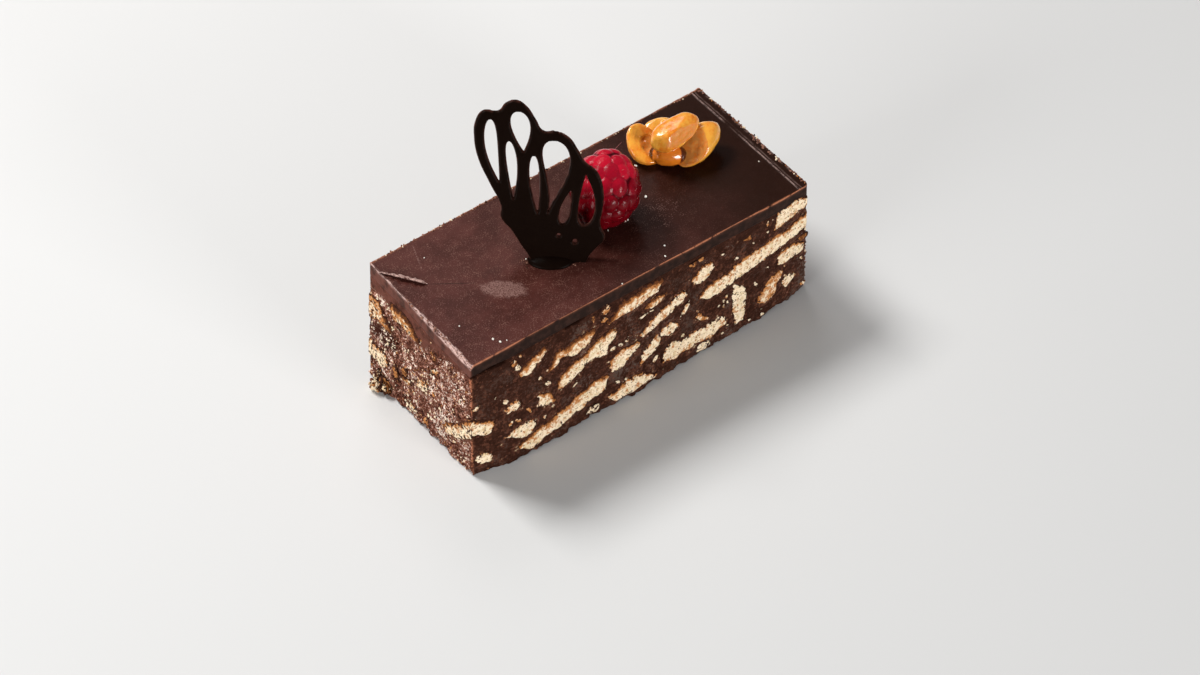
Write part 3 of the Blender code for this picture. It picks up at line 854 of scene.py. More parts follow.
# along, up, tilt, start, end, toast, low edge and high edge of each biscuit that shows in the front
FRONT_ROWS = (
    (-40, 33.9, 28, -4.8, 6.1, (0.8, 0.1, 0.15), (-1.3, -3.2, -2.7, -2.4, -2.5, -1.8, -1), (2, 1.7, 1.4, 2,
     1.9, 1.4, 1.2)),
    (-25.2, 32.6, 6, -10.4, 7.6, (1, 0.15, 0.25), (-4.7, -4.4, -3.9, -2.3, -3, -4.3, -5, -4.4, -4.2, -3.4,
     -1.6), (-3.4, -1.3, 1.6, 1.5, 0.8, 0.7, 1.4, 1.6, 1.4, 1.5, 1.4)),
    (-21.2, 24.2, 22, -11.6, 11.5, (0.7, 0.05, 0.08), (-2.1, -2.7, -2.8, -2.8, -2.6, -2.4, -2.2, -2.3, -2.7,
     -4.4, -5.3, -2.3, -2, -1.6), (1.4, 2.7, 2.9, 2.9, 2.9, 2.9, 2.6, 2.2, 2.6, 2.5, 3.4, 3, 2.9, 2.4)),
    (-57.7, 19.4, -18, -3.8, 5.1, (0.7, 0.1, 0.05), (0.2, -3.8, -3.5, -3.8, -4.4, -3.6), (2.4, 2, 1.7, 1.6,
     1.7, 1.1)),
    (-56.4, 6.6, -25, -2.8, 2.7, (0.15, 0.1, 0.05), (-2.7, -3.4, -2.6), (0.7, 1, 0.4)),
    (-46.7, 21.1, 4, -3, 2.7, (0.35, 0.05, 0.12), (-1.6, -1.2, -2, -1), (0.9, 2.2, 2.2, 1.7)),
    (-36.7, 18, -33, -3.1, 4.6, (0.7, 0.05, 0.08), (0.4, -2.6, -2.7, -2.3, -1.2), (2.1, 2.4, 2.6, 2.2,
     0.8)),
    (-45.4, 11.4, 0, -5.1, 5.9, (0.25, 0.1, 0.1), (-1.2, -1.9, -2.7, -4.1, -4.3, -3.7, -1.6), (-0.1, 0.5,
     1.2, 1.6, 1.5, 1.8, 0.6)),
    (-30.3, 7.8, 14, -16.7, 17.2, (0.7, 0.1, 0.1), (-0.4, -2.2, -3.6, -3.6, -3.1, -2.8, -2.9, -3, -3.5,
     -3.7, -3.5, -3.6, -2.9, -3.7, -4, -3.3, -3.3, -3.3, -3.8, -3.4, -0.1), (1.6, 1.8, 1.7, 2.1, 2.5, 2.5,
     2.4, 2.1, 2.4, 2.6, 2.6, 2.5, 2.4, 2.4, 3.1, 3, 2.8, 3.2, 3.1, 2.6, 2)),
    (-3.2, 35.7, 11, -10.9, 10.1, (1, 0.05, 0.2), (-1.1, -1.2, -1.2, -1.3, -2, -2.2, -2.3, -2.2, -2.1, -2.2,
     -2.4, -2.4, -0.1), (0.3, 1.2, 1.9, 3.4, 3.8, 3.6, 3.5, 3, 3.1, 3.2, 2.9, 2.4, 1.6)),
    (3.8, 31, 13, -4.4, 4.2, (0.7, 0.1, 0.3), (0.3, -1, -1, -1, -0.2), (1.8, 2.2, 2.5, 2.6, 1)),
    (6.6, 25.1, 21, -9.6, 8.9, (0.4, 0.25, 0.12), (-1.7, -1.9, -2.2, -2.3, -1.9, -2, -2.1, -2.3, -1.8, -2,
     -2.2, -1.7), (0.5, 1.2, 1.5, 1.8, 1.8, 2.2, 2.5, 1.9, 2.1, 2.6, 2, 1.5)),
    (-8.4, 17.1, 21, -5.2, 6.5, (0.6, 0.1, 0.08), (-2.3, -3.1, -3, -2.4, -1.7, -1.7, -1.4), (2.4, 3.3, 3.7,
     3.8, 2.9, 2, 1.5)),
    (0.9, 14, 38, -4.7, 5.2, (0.3, 0.3, 0.08), (-1.2, -2, -2.3, -2.6, -2.4, -1.5), (0.4, 2.1, 2.1, 1.9, 2.1,
     1.8)),
    (9.7, 17.9, 8, -4.5, 2.4, (0.3, 0.2, 0.1), (-0.9, -2.8, -2.8, -1.7), (2, 2.2, 2.3, 0)),
    (17.6, 8, 1, -12.3, 11.7, (0.15, 0.6, 0.12), (-2.2, -2.9, -3.6, -3.8, -3, -3.3, -3.9, -3.6, -3, -3.4,
     -3.7, -4.4, -3.2, -2.2, -2.2), (1.1, 3.4, 3.8, 3.5, 2.7, 2.5, 2.7, 2.7, 2.4, 1.9, 1.9, 2.4, 2.6, 2.8,
     2.4)),
    (-5.4, 3.8, 1, -8.9, 8.9, (0.4, 0.05, 0.12), (-0.6, -2.5, -2.2, -2.2, -2.2, -2.4, -2.4, -2.2, -2.3,
     -2.2, -2.1), (1.7, 1.7, 2.7, 3.5, 3.9, 3.5, 3.6, 3.1, 1.9, 0.8, -0.9)),
    (21, 31.9, 19, -4.2, 4.3, (0.5, 0.05, 0.08), (-1.6, -3.1, -3, -2.5, -1.2), (1.5, 2.2, 3, 2.8, 2.2)),
    (42.4, 26.8, 11.5, -23.1, 19, (0.65, 0.1, 0.08), (0.1, -1.9, -2.5, -2.8, -3, -2.7, -2.8, -2.5, -2.4,
     -2.4, -2.7, -2.7, -3.1, -2.6, -3.4, -2.8, -3.3, -3.5, -3.3, -3.4, -3.3, -3.3, -3.3, -3.4, -3.6, -2.6),
     (2, 2.8, 3.3, 3.4, 3.4, 3.2, 2.6, 3.2, 3.8, 3.9, 3.9, 3.8, 3.6, 3.6, 3.4, 3.3, 3.6, 3.6, 3.3, 2.5, 1.9,
     2.7, 3.1, 3, 3.1, 3.3)),
    (55.4, 37.2, 6.5, -9.2, 5.1, (0.3, 0.6, 0.12), (-2.9, -3.4, -2.7, -2.5, -2.4, -1.9, -1.5, -1.6, -1.4),
     (-1.4, 3.9, 4, 3.9, 3.5, 4.4, 4, 3.1, 2.5)),
    (53.4, 20.2, 3, -5.2, 5.7, (0.5, 0.1, 0.1), (-1.8, -2.8, -3.2, -2.8, -2.9, -3.1, -3), (2, 3, 3, 3.3,
     3.1, 2.2, 1.1)),
    (33.9, 12.4, 96, -8.1, 8.3, (0.1, 0.1, 0.05), (-1.2, -2, -2.4, -2.6, -2.9, -3.4, -3.2, -3.5, -2.3,
     -0.6), (2.2, 2.4, 2.3, 2.2, 2.4, 2.3, 2.1, 1.9, 1.4, 1.6)),
    (46, 10.9, 45, -5.7, 6.1, (0.4, 0.4, 0.55), (-2.9, -3.8, -4.1, -3.6, -2.3, -2.5, -2), (2.2, 2.6, 2.4,
     2.9, 3.1, 2.7, 1.7)),
    (55.1, 8.8, 25, -3.8, 1.4, (0.15, 0.2, 0.15), (-1.2, -1.1, -0.8), (3.2, 4.2, 2)),
    (21, 14.9, -25, -2.5, 3.2, (0.4, 0.3, 0.35), (-1.3, -1.8, -1.9, -2.1), (1.3, 0.6, -0.3, 0)),
)
# the same in the left end, whose seventh row is the left end of the front's fourth biscuit
LEFT_ROWS = (
    (8.3, 35, -2, -8.1, 7, (1.0, 0.45, 0.5), (-2.5, -3, -3.2, -2.9, -2.4, -2.1, -2.8, -3.1, -0.6), (-1.2,
     0.4, 1.8, 2.8, 3.2, 3.4, 2.8, 3, 3)),
    (21.8, 28.7, 22, -8.4, 5.4, (0.8, 0.9, 0.5), (-1, -1.9, -2.2, -2.4, -3.3, -6, -6.1, -4.9, -2.2), (1.1,
     1.8, 2.2, 2.6, 4.4, 5.1, 4.6, 3.7, 2.7)),
    (22.2, 13.4, 0, -6.3, 4.1, (0.2, 0.15, 0.15), (-3.7, -5.7, -5.7, -4.6, -5.1, -5.8, -4.8), (0, 1.1, 1.1,
     0.9, 0.8, 1.3, 1.4)),
    (7, 14.2, -14, -2.5, 3.6, (0.4, 0.1, 0.3), (-2.8, -2.9, -2.8, -2.6), (-1.7, -1, -1.1, -1.4)),
    (-1.4, 17.4, -39, -3.4, 4, (0.3, 0.1, 0.15), (-1.3, -2.1, -2.2, -0.8), (1.2, 1.7, 1.9, 1.6)),
    (4.2, 4.6, -9, -2.4, 2.9, (0.1, 0.1, 0.1), (-1.7, -2.3, -2), (-0.1, 0.6, -0.1)),
    (-19, 15, -41.6, -11.1, 9.5, (0.7, 0.1, 0.05), (1, -0.9, -2.8, -3.5, -3.6, -3.7, -3.7, -3.6, -3.5, -3.4,
     -3.2, -2.9, -1.7), (2, 2.1, 2.2, 2.1, 1.9, 1.6, 1.4, 1.5, 1.8, 1.9, 2, 2, 1.2)),
)
# along, up, length, thickness and tilt of those that the finished right end and back show
RIGHT_ROWS = (
    (7.0, 33.0, 16.0, 5.0, 8), (13.0, 22.6, 17.0, 5.4, -14), (-5.5, 15.5, 12.0, 5.0, 20),
    (10.0, 8.0, 16.0, 5.4, 6), (-9.5, 5.0, 9.0, 4.8, -8),
)
BACK_ROWS = (
    (-42.5, 32.5, 13.0, 5.0, -12), (-22.0, 34.0, 18.0, 5.0, 8), (2.0, 30.0, 22.0, 5.4, -10),
    (25.5, 34.0, 15.0, 5.0, 14), (40.0, 24.0, 18.0, 5.4, -16), (-38.0, 20.5, 21.0, 5.4, 14),
    (-12.0, 19.0, 17.0, 5.6, -20), (16.0, 18.5, 18.0, 5.0, 8), (-41.5, 7.2, 15.0, 5.4, -6),
    (-16.5, 6.6, 19.0, 5.6, 10), (11.5, 7.8, 15.0, 5.0, 20), (37.5, 9.0, 23.0, 5.6, -8),
)


def plain_cuts(seed: int = 7) -> list:
    """Makes uneven edges for the biscuits of the hidden sides.

    Args:
        seed: Start of the random draws.

    Returns:
        A Cut for each row of the right end and the back.
    """
    draw = np.random.default_rng(seed)
    made = []
    rows = [(Side.RIGHT, *row) for row in enumerate(RIGHT_ROWS, start=1)]
    rows += [(Side.BACK, *row) for row in enumerate(BACK_ROWS, start=1)]
    for side, number, (along, up, length, thickness, tilt) in rows:
        steps = max(4, round(length / 1.6))
        edges = draw.normal(0.0, 0.28, (2, steps)) + np.array([[-0.5], [0.5]]) * thickness
        edges[:, [0, -1]] *= draw.uniform(0.35, 0.8, (2, 2))
        toast = (draw.uniform(0.3, 0.9), draw.uniform(0.05, 0.4), draw.uniform(0.05, 0.2))
        made.append(Cut(side, number, along, up, tilt, -length / 2, length / 2, toast, *edges))
    return made


CUTS = [Cut(side, number, *row) for side, rows in ((Side.FRONT, FRONT_ROWS), (Side.LEFT, LEFT_ROWS))
        for number, row in enumerate(rows, start=1)] + plain_cuts()


@dataclass(frozen=True)
class BiscuitShape:
    """Solid pieces of biscuit, ragged at the rim and pitted in the cut."""

    cell: float = 0.30          # spacing of the points on the cut
    proud: float = 0.10         # how far the cut stands out of the mass
    rag: float = 0.38           # raggedness of the rim
    depth_per_length: float = 0.8
    depth_range: tuple = (5.0, 12.0)
    corner_depth: float = 2.0   # of the two parts of the piece that goes round the left corner
    corner: tuple = ((Side.FRONT, 4), (Side.LEFT, 7))
    tuck: float = 0.35          # how far behind each other's faces these two parts go
    past_end: float = 1.5       # how much longer a piece is made where it runs out through another face
    wall_steps: tuple = (1.2, 0.36)     # spacing of the points on its walls: plain, and in such a piece

    def goes_round(self, cut: Cut) -> bool:
        """Whether a cut is part of the piece that goes round the corner."""
        return (cut.side, cut.number) in self.corner

    def depth(self, cut: Cut) -> float:
        """How deep a piece runs in behind its cut."""
        plain = float(np.clip((cut.end - cut.start) * self.depth_per_length, *self.depth_range))
        return self.corner_depth if self.goes_round(cut) else plain

    def span(self, cut: Cut) -> tuple:
        """Where a piece starts and ends, which is past the slice where it reaches another face.

        Args:
            cut: Where and how the biscuit shows.

        Returns:
            Its start and end along its line.
        """
        ends = cut.along + np.array((cut.start, cut.end)) * math.cos(cut.turn)
        past = self.past_end * (np.abs(ends) > FORM.half[cut.side.axis] - 0.5) * (not self.goes_round(cut))
        return cut.start - past[0], cut.end + past[1]

    def near_end(self, cut: Cut, along: Array) -> Array:
        """How far a place is from the nearer end of a piece, where an end on another face is far off.

        Args:
            cut: Where and how the biscuit shows.
            along: Places along its line.

        Returns:
            Millimetres, below 0 past the end.
        """
        start, end = self.span(cut)
        first = along - start + FAR * (self.goes_round(cut) or start < cut.start)
        return np.minimum(first, end - along + FAR * (end > cut.end))

    def edges(self, cut: Cut, along: Array) -> tuple:
        """The low and high edge of a cut at each place along its line."""
        at = cut.start + (np.arange(len(cut.low)) + 0.5) / len(cut.low) * (cut.end - cut.start)
        return np.interp(along, at, cut.low), np.interp(along, at, cut.high)

    def drift(self, cut: Cut, inward: Array) -> Array:
        """How far a piece wanders across its line at each depth."""
        wander = 0.65 * layered_noise(side_by_side(inward, 9.0 * cut.number, 0.0), 3.0, cut.number, 2)
        return wander * ease(inward, 0.3, 2.0) * (not self.goes_round(cut))

    def reach(self, cut: Cut, up: Array, rim: Array) -> Array:
        """How deep a piece runs in: unevenly from height to height, and less far at its rim.

        Args:
            cut: Where and how the biscuit shows.
            up: Heights.
            rim: Distances from its edges.

        Returns:
            The depth at each place.
        """
        if self.goes_round(cut):
            return np.full(len(up), self.corner_depth)
        ragged = 0.9 * layered_noise(side_by_side(up, 7.0 * cut.number, 0.0), 1.8, cut.number + 3, 3)
        return self.depth(cut) + ragged - 2.0 * np.exp(-np.maximum(rim, 0.0) / 0.8)

    def covers(self, cut: Cut, points: Array) -> Array:
        """How far points of the mass lie inside a biscuit, at most half its width, below 0 outside.

        Args:
            cut: The biscuit.
            points: Places in millimetres.

        Returns:
            The distance to its rim for each point.
        """
        inward = FORM.inward(cut.side, points)
        across = points[:, cut.side.axis] - cut.along
        near = (inward < 14.0) & (np.abs(across) < cut.end - cut.start + 2.0)
        covered = np.full(len(points), -FAR)
        points, inward, across = points[near], inward[near], across[near]
        up = points[:, 2] - cut.up
        along = across * math.cos(cut.turn) + up * math.sin(cut.turn)
        over = up * math.cos(cut.turn) - across * math.sin(cut.turn) - self.drift(cut, inward)
        low, high = self.edges(cut, along)
        rim = np.minimum(over - low, high - over)
        deep = self.reach(cut, points[:, 2], rim) - inward
        covered[near] = np.minimum(np.minimum(self.near_end(cut, along), rim), deep)
        return covered

    def shell(self, cut: Cut) -> Shell:
        """Builds one piece.

        A block of cells is bent so that it fills the cut between its low and high edge, with noise
        added to the edges. Where the piece runs out through another face, four rounds slide its
        points back along its line onto that face. Its outer side is laid on the cut face, where it
        stands a little proud, sinks at the rim, and is pitted by noise.

        Args:
            cut: Where and how the biscuit shows.

        Returns:
            Its closed surface with the marks toast and smear.
        """
        bent, seed, deepest = self.goes_round(cut), cut.number + 40 * cut.side.order, self.depth(cut)
        start, end = self.span(cut)
        length, width = end - start, float(np.max(np.subtract(cut.high, cut.low)))
        step = self.wall_steps[length > cut.end - cut.start]
        steps = np.array((0.0, 0.35, 0.9, *np.arange(0.9 + step, deepest - step / 2, step), deepest))
        counts = (max(6, round(length / self.cell)), len(steps) - 1, max(6, round(width / self.cell)))
        place, faces = block_skin(counts, ((1, 1),))
        share = place[:, 2] / counts[2]
        line, shift, depth = start + place[:, 0] / counts[0] * length, 0.0, steps[place[:, 1]]
        on_other = np.zeros(len(place), bool)
        for _ in range(1 if bent else 4):
            line = line + shift
            low, high = self.edges(cut, line)
            flat = side_by_side(line, 0.0, seed * 5.0)
            low = low + self.rag * layered_noise(flat, 1.7, seed, 3)
            high = high + self.rag * layered_noise(flat, 1.7, seed + 20, 3)
            near_end = self.near_end(cut, line)
            round_off = 0.55 + 0.45 * np.sqrt(1 - (1 - np.clip(near_end / 0.9, 0, 1)) ** 2)
            half = (high - low) / 2 * round_off
            over = (low + high) / 2 + (2 * share - 1) * half + self.drift(cut, depth)
            uneven = 2 * self.rag * lattice_noise(side_by_side(over, 0.0, seed * 3.0), 1.3, seed)
            along = line + uneven * ease(1 - near_end, 0.0, 1.0)
            across, up = cut.spot(along, over)
            up = np.maximum(up, 0.05)
            rim = np.minimum(share, 1 - share) * 2 * half
            reach = self.reach(cut, up, rim)
            inward = depth * reach / deepest
            solid = FORM.place(cut.side, across, up, inward)
            flat = self.trimmed(solid, cut.side, 0.0)
            shift = (flat - solid)[:, cut.side.axis] / math.cos(cut.turn)
            on_other |= (np.abs(shift) > 0.02) & (not bent)
        near_end = np.where(on_other, reach - inward, near_end)
        rim = np.minimum(rim, np.maximum(near_end, 0.0))
        pits = np.clip(lattice_noise(flat, 1.0, seed) - 0.25, 0, 1)
        if bent:
            pits = pits * ease(along - cut.start, 0.4, 1.4)
        stand = self.proud + 0.07 * layered_noise(flat, 1.6, seed, 3) - 0.38 * pits
        stand = stand - (self.proud + 0.28) * np.exp(-rim / 0.16)
        laid = FORM.place(cut.side, across, up, np.where(place[:, 1] == 0, -stand, inward))
        tucked = 0.03 - self.tuck * np.minimum(inward / 0.35, 1.0)
        points = self.trimmed(laid, cut.side, tucked if bent else np.clip(stand, -0.3, 0.12))
        top, bottom, over_all = cut.toast
        toast = 0.45 * over_all + 0.06 + 1.6 * top * np.exp(-(1 - share) * 2 * half / (0.50 + 0.65 * top))
        toast = toast + bottom * np.exp(-share * 2 * half / 0.6)
        toast = toast + 0.3 * max(top, bottom) * np.exp(-np.maximum(near_end, 0) / 0.5)
        smear = 0.6 * np.exp(-rim / 0.4) + 0.42 if cut.side.is_end else np.exp(-rim / 0.55) + 0.04
        return Shell(FORM.softened(points), faces, {"toast": toast, "smear": smear})

    def trimmed(self, points: Array, side: Side, stand: object) -> Array:
        """Brings points that stand out past a neighbouring cut face back to it.

        Args:
            points: Places in millimetres.
            side: The face that the points belong to.
            stand: How far they may stand out, as one number or one for each.

        Returns:
            The places, moved where they stood out.
        """
        made = points.copy()
        for other in Side:
            if other.is_end == side.is_end:
                continue
            limit = FORM.depth(other, made[:, other.axis], made[:, 2]) - other.way * stand
            across = other.way * made[:, 1 - other.axis]
            made[:, 1 - other.axis] = other.way * np.maximum(across, other.way * limit)
        return made


@dataclass(frozen=True)
class CocoaMass:
    """The block that holds the biscuits: one skin that is bedded in wherever a biscuit shows."""

    cell: float = 0.41          # spacing of the points, and closer together under the glaze
    fine: float = 0.13
    fine_span: float = 1.6
    level: float = 0.37         # the spacing upwards
    top: float = 40.5
    bed: float = 0.85           # how far the mass sinks under a biscuit
    swell: float = 0.30
    crumb_height: float = 0.42  # relief of the broken ends
    cut_height: float = 0.07    # relief of the long cuts
    pit_depth: float = 0.9
    cracks: tuple = ((-62.0, -47.0), (-29.0, -20.0))    # open joints under the glaze, along the front
    crack_depth: float = 2.2
    damp_patch: tuple = ((17.0, 21.5), (8.0, 7.0))      # its middle and half sizes on the left end

    def crack(self, x: Array) -> Array:
        """How open the joint under the glaze is along the front, from 0 to 1."""
        return sum(ease(x, low, low + 1.5) * ease(-x, -high, 1.5 - high) for low, high in self.cracks)

    def crumbliness(self, side: Side, points: Array) -> Array:
        """How broken a face is: the ends crumble, the long cuts are close, and both are close high up.

        Args:
            side: The cut face.
            points: Places on it in millimetres.

        Returns:
            A share from 0 to 1 for each point.
        """
        _, y, z = points.T
        patches = layered_noise(points, 7.0, 3.0, 2)
        if side.is_end:
            across = y if side is Side.LEFT else -y
            smooth_above = 36.5 + 3.0 * ease(-across, 0.0, 22.0) - 4.0 * bell(across, -1.0, 4.0)
            return np.clip(ease(smooth_above - z, -1.0, 2.0) * (0.90 + 0.50 * patches), 0.0, 1.0)
        broken = 0.02 + 0.08 * np.clip(patches, 0, 1)
        return np.clip(broken * ease(38.5 - z + 2 * patches, -1.0, 3.0), 0.0, 1.0)

    def damp(self, side: Side, points: Array) -> Array:
        """How dark the crumb is: in a ragged oval under the upper biscuits of the left end.

        Args:
            side: The cut face.
            points: Places on it in millimetres.

        Returns:
            A share from 0 to 1 for each point.
        """
        if side is not Side.LEFT:
            return np.zeros(len(points))
        middle, half = self.damp_patch
        far = np.hypot(*((points[:, 1:] - middle) / half).T)
        return ease(1.0 + 0.5 * layered_noise(points, 4.0, 61.0, 3) - far, 0.0, 0.45)

    def relief(self, side: Side, points: Array) -> Array:
        """How far a face stands out at each point.

        Slow swells are the same everywhere. Layered noise, with pits where a finer noise is high,
        grows with the crumbliness, and the foot is ragged.

        Args:
            side: The cut face.
            points: Places on it in millimetres.

        Returns:
            Millimetres outwards.
        """
        seed = 3.0 * side.order
        crumbly = self.crumbliness(side, points)
        rough = layered_noise(points, 2.0, seed, 3)
        pits = np.clip(lattice_noise(points, 1.3, seed + 1) - 0.15, 0, 1)
        height = self.swell * lattice_noise(points, 14.0, seed + 2)
        height += self.cut_height * rough * (1 - crumbly)
        height += crumbly * (self.crumb_height * rough - self.pit_depth * pits)
        height -= 0.22
        foot = np.exp(-points[:, 2] / 1.3)
        ragged = 1.15 if side is Side.LEFT else 0.75
        return height + foot * (ragged * layered_noise(points, 2.0, seed + 3, 3) - 0.2)

    def shell(self, shape: BiscuitShape) -> Shell:
        """Builds the skin of the mass.

        The skin of a block of cells takes the form of the slice, moves out or in by each face's
        relief, and sinks where the biscuits lie.

        Args:
            shape: What gives the biscuits their extent.

        Returns:
            The closed surface with the marks crumbly, edge, debris, haze, crack and damp.
        """
        levels = graded_steps(0.0, self.top, self.level, self.fine, ((self.top - self.fine_span, self.top),))
        counts = (*(round(2 * half / self.cell) for half in FORM.half), len(levels) - 1)
        place, faces = block_skin(counts, ((2, 0), (2, 1)))
        flat = FORM.point(place[:, 0] / counts[0], place[:, 1] / counts[1], levels[place[:, 2]])
        points = flat.copy()
        inside = np.max([shape.covers(cut, flat) for cut in CUTS], axis=0)
        sunk = self.bed * ease(inside, 0.05, 0.75)
        crumbly, crack, damp = np.full(len(flat), 0.3), np.zeros(len(flat)), np.zeros(len(flat))
        joint = ease(flat[:, 2], self.top - 0.5, self.top - 0.15)
        for side in Side:
            on = side.holds(place, counts)
            out = self.relief(side, flat[on]) - sunk[on] - 0.12 * joint[on]
            if side is Side.FRONT:
                wave = 0.45 * layered_noise(flat[on], 3.0, 5, 3)
                above = flat[on, 2] + wave - self.top
                opened = self.crack(flat[on, 0])
                # the crack mark paints shade into the open joint
                crack[on] = ease(above + 1.35 * opened, 0.30, 0.42) * (opened > 0)
                out = out - self.crack_depth * crack[on]
            points[on, 1 - side.axis] -= side.way * out
            crumbly[on] = self.crumbliness(side, flat[on])
            damp[on] = np.maximum(damp[on], self.damp(side, flat[on]))
        chips = 0.8 * np.clip(layered_noise(flat * (1, 1, 0), 3.0, 44, 3), 0, 1)
        points[:, 2] += chips * np.exp(-flat[:, 2])
        front, left, right = (FORM.inward(side, flat) for side in (Side.FRONT, Side.LEFT, Side.RIGHT))
        # the edge mark paints a highlight on the front-left corner
        corner = bell(front, 0.0, 0.5) * bell(left, 0.0, 0.5)
        debris = np.exp(np.minimum(inside, 0.0) / 1.5) * ease(-flat[:, 2], -39.0, -35.0)
        ends = np.minimum(left, right)
        marks = {"crumbly": crumbly, "edge": corner, "debris": debris, "haze": 0.9 * bell(ends, 0.0, 0.4),
                 "crack": crack, "damp": damp}
        return Shell(FORM.softened(points), faces, marks)


@dataclass(frozen=True)
class Loaf:
    """The mass with all its biscuits and the lump of crust at the foot of the left end."""

    # centre, half sizes, toast and smear of the parts of the lump
    lump_parts: tuple = (
        ((-63.4, 18.9, 2.0), (1.8, 1.7, 1.9), 0.0, 0.35), ((-62.6, 17.3, 1.6), (1.4, 1.5, 1.6), 0.35, 0.9),
        ((-62.0, 15.3, 2.0), (1.1, 1.3, 1.6), 0.8, 0.3), ((-61.8, 19.6, 4.2), (1.2, 1.6, 1.6), 0.3, 1.0),
        ((-61.6, 17.6, 3.8), (1.1, 1.5, 1.5), 0.6, 0.8),
    )
    loose_crumbs: int = 60      # small ones on the lump

    def build(self) -> None:
        """Makes the mass, a piece for each biscuit, and the lump."""
        shape = BiscuitShape()
        mass = CocoaMass().shell(shape)
        make_piece("cocoa_mass", mass, CocoaFinish().material(), ("fudge",))
        finish = BiscuitFinish().material()
        bent = [cut for cut in CUTS if shape.goes_round(cut)]
        for cut in CUTS:
            if cut is bent[1]:
                continue
            made = join_shells([shape.shell(part) for part in (bent if cut is bent[0] else (cut,))])
            side, number = cut.side.name.lower(), cut.number
            make_piece(f"{side}_biscuit_{number}", made, finish, (f"biscuit_{side}_{number}",))
        make_piece("crust_lump", self.lump(), finish, ("biscuit_heel",))

    def lump(self) -> Shell:
        """Balls swollen by layered noise, joined into a lump that stands on the ground.

        Small ones sit on the large ones: each lies in a drawn direction from the middle of one of
        them, at its surface.

        Returns:
            The closed surfaces with the marks toast and smear.
        """
        draw = np.random.default_rng(5)
        rows = [(*part, (26, 36)) for part in self.lump_parts]
        for _ in range(self.loose_crumbs):
            centre, reach, _, _ = self.lump_parts[draw.integers(len(self.lump_parts))]
            spot = np.array(centre) + unit(draw.normal(0, 1, 3) - (0.6, 0.3, 0)) * reach
            toast, smear = draw.uniform(-0.1, 0.9), draw.uniform(0.1, 1.3)
            rows.append((spot, draw.uniform(0.28, 0.62) * draw.uniform(0.7, 1.3, 3), toast, smear, (8, 11)))
        parts = []
        for number, (centre, reach, toast, smear, grid) in enumerate(rows):
            ways, faces = ball(*grid)
            swell = 1 + 0.42 * layered_noise(ways * 3, 1.5, 5.0 + number, 3)
            points = ways * swell[:, None] * reach + centre
            points[:, 2] = np.maximum(points[:, 2], 0.0)
            marks = {"toast": np.full(len(points), toast), "smear": np.full(len(points), smear)}
            parts.append(Shell(points, faces, marks))
        return join_shells(parts)


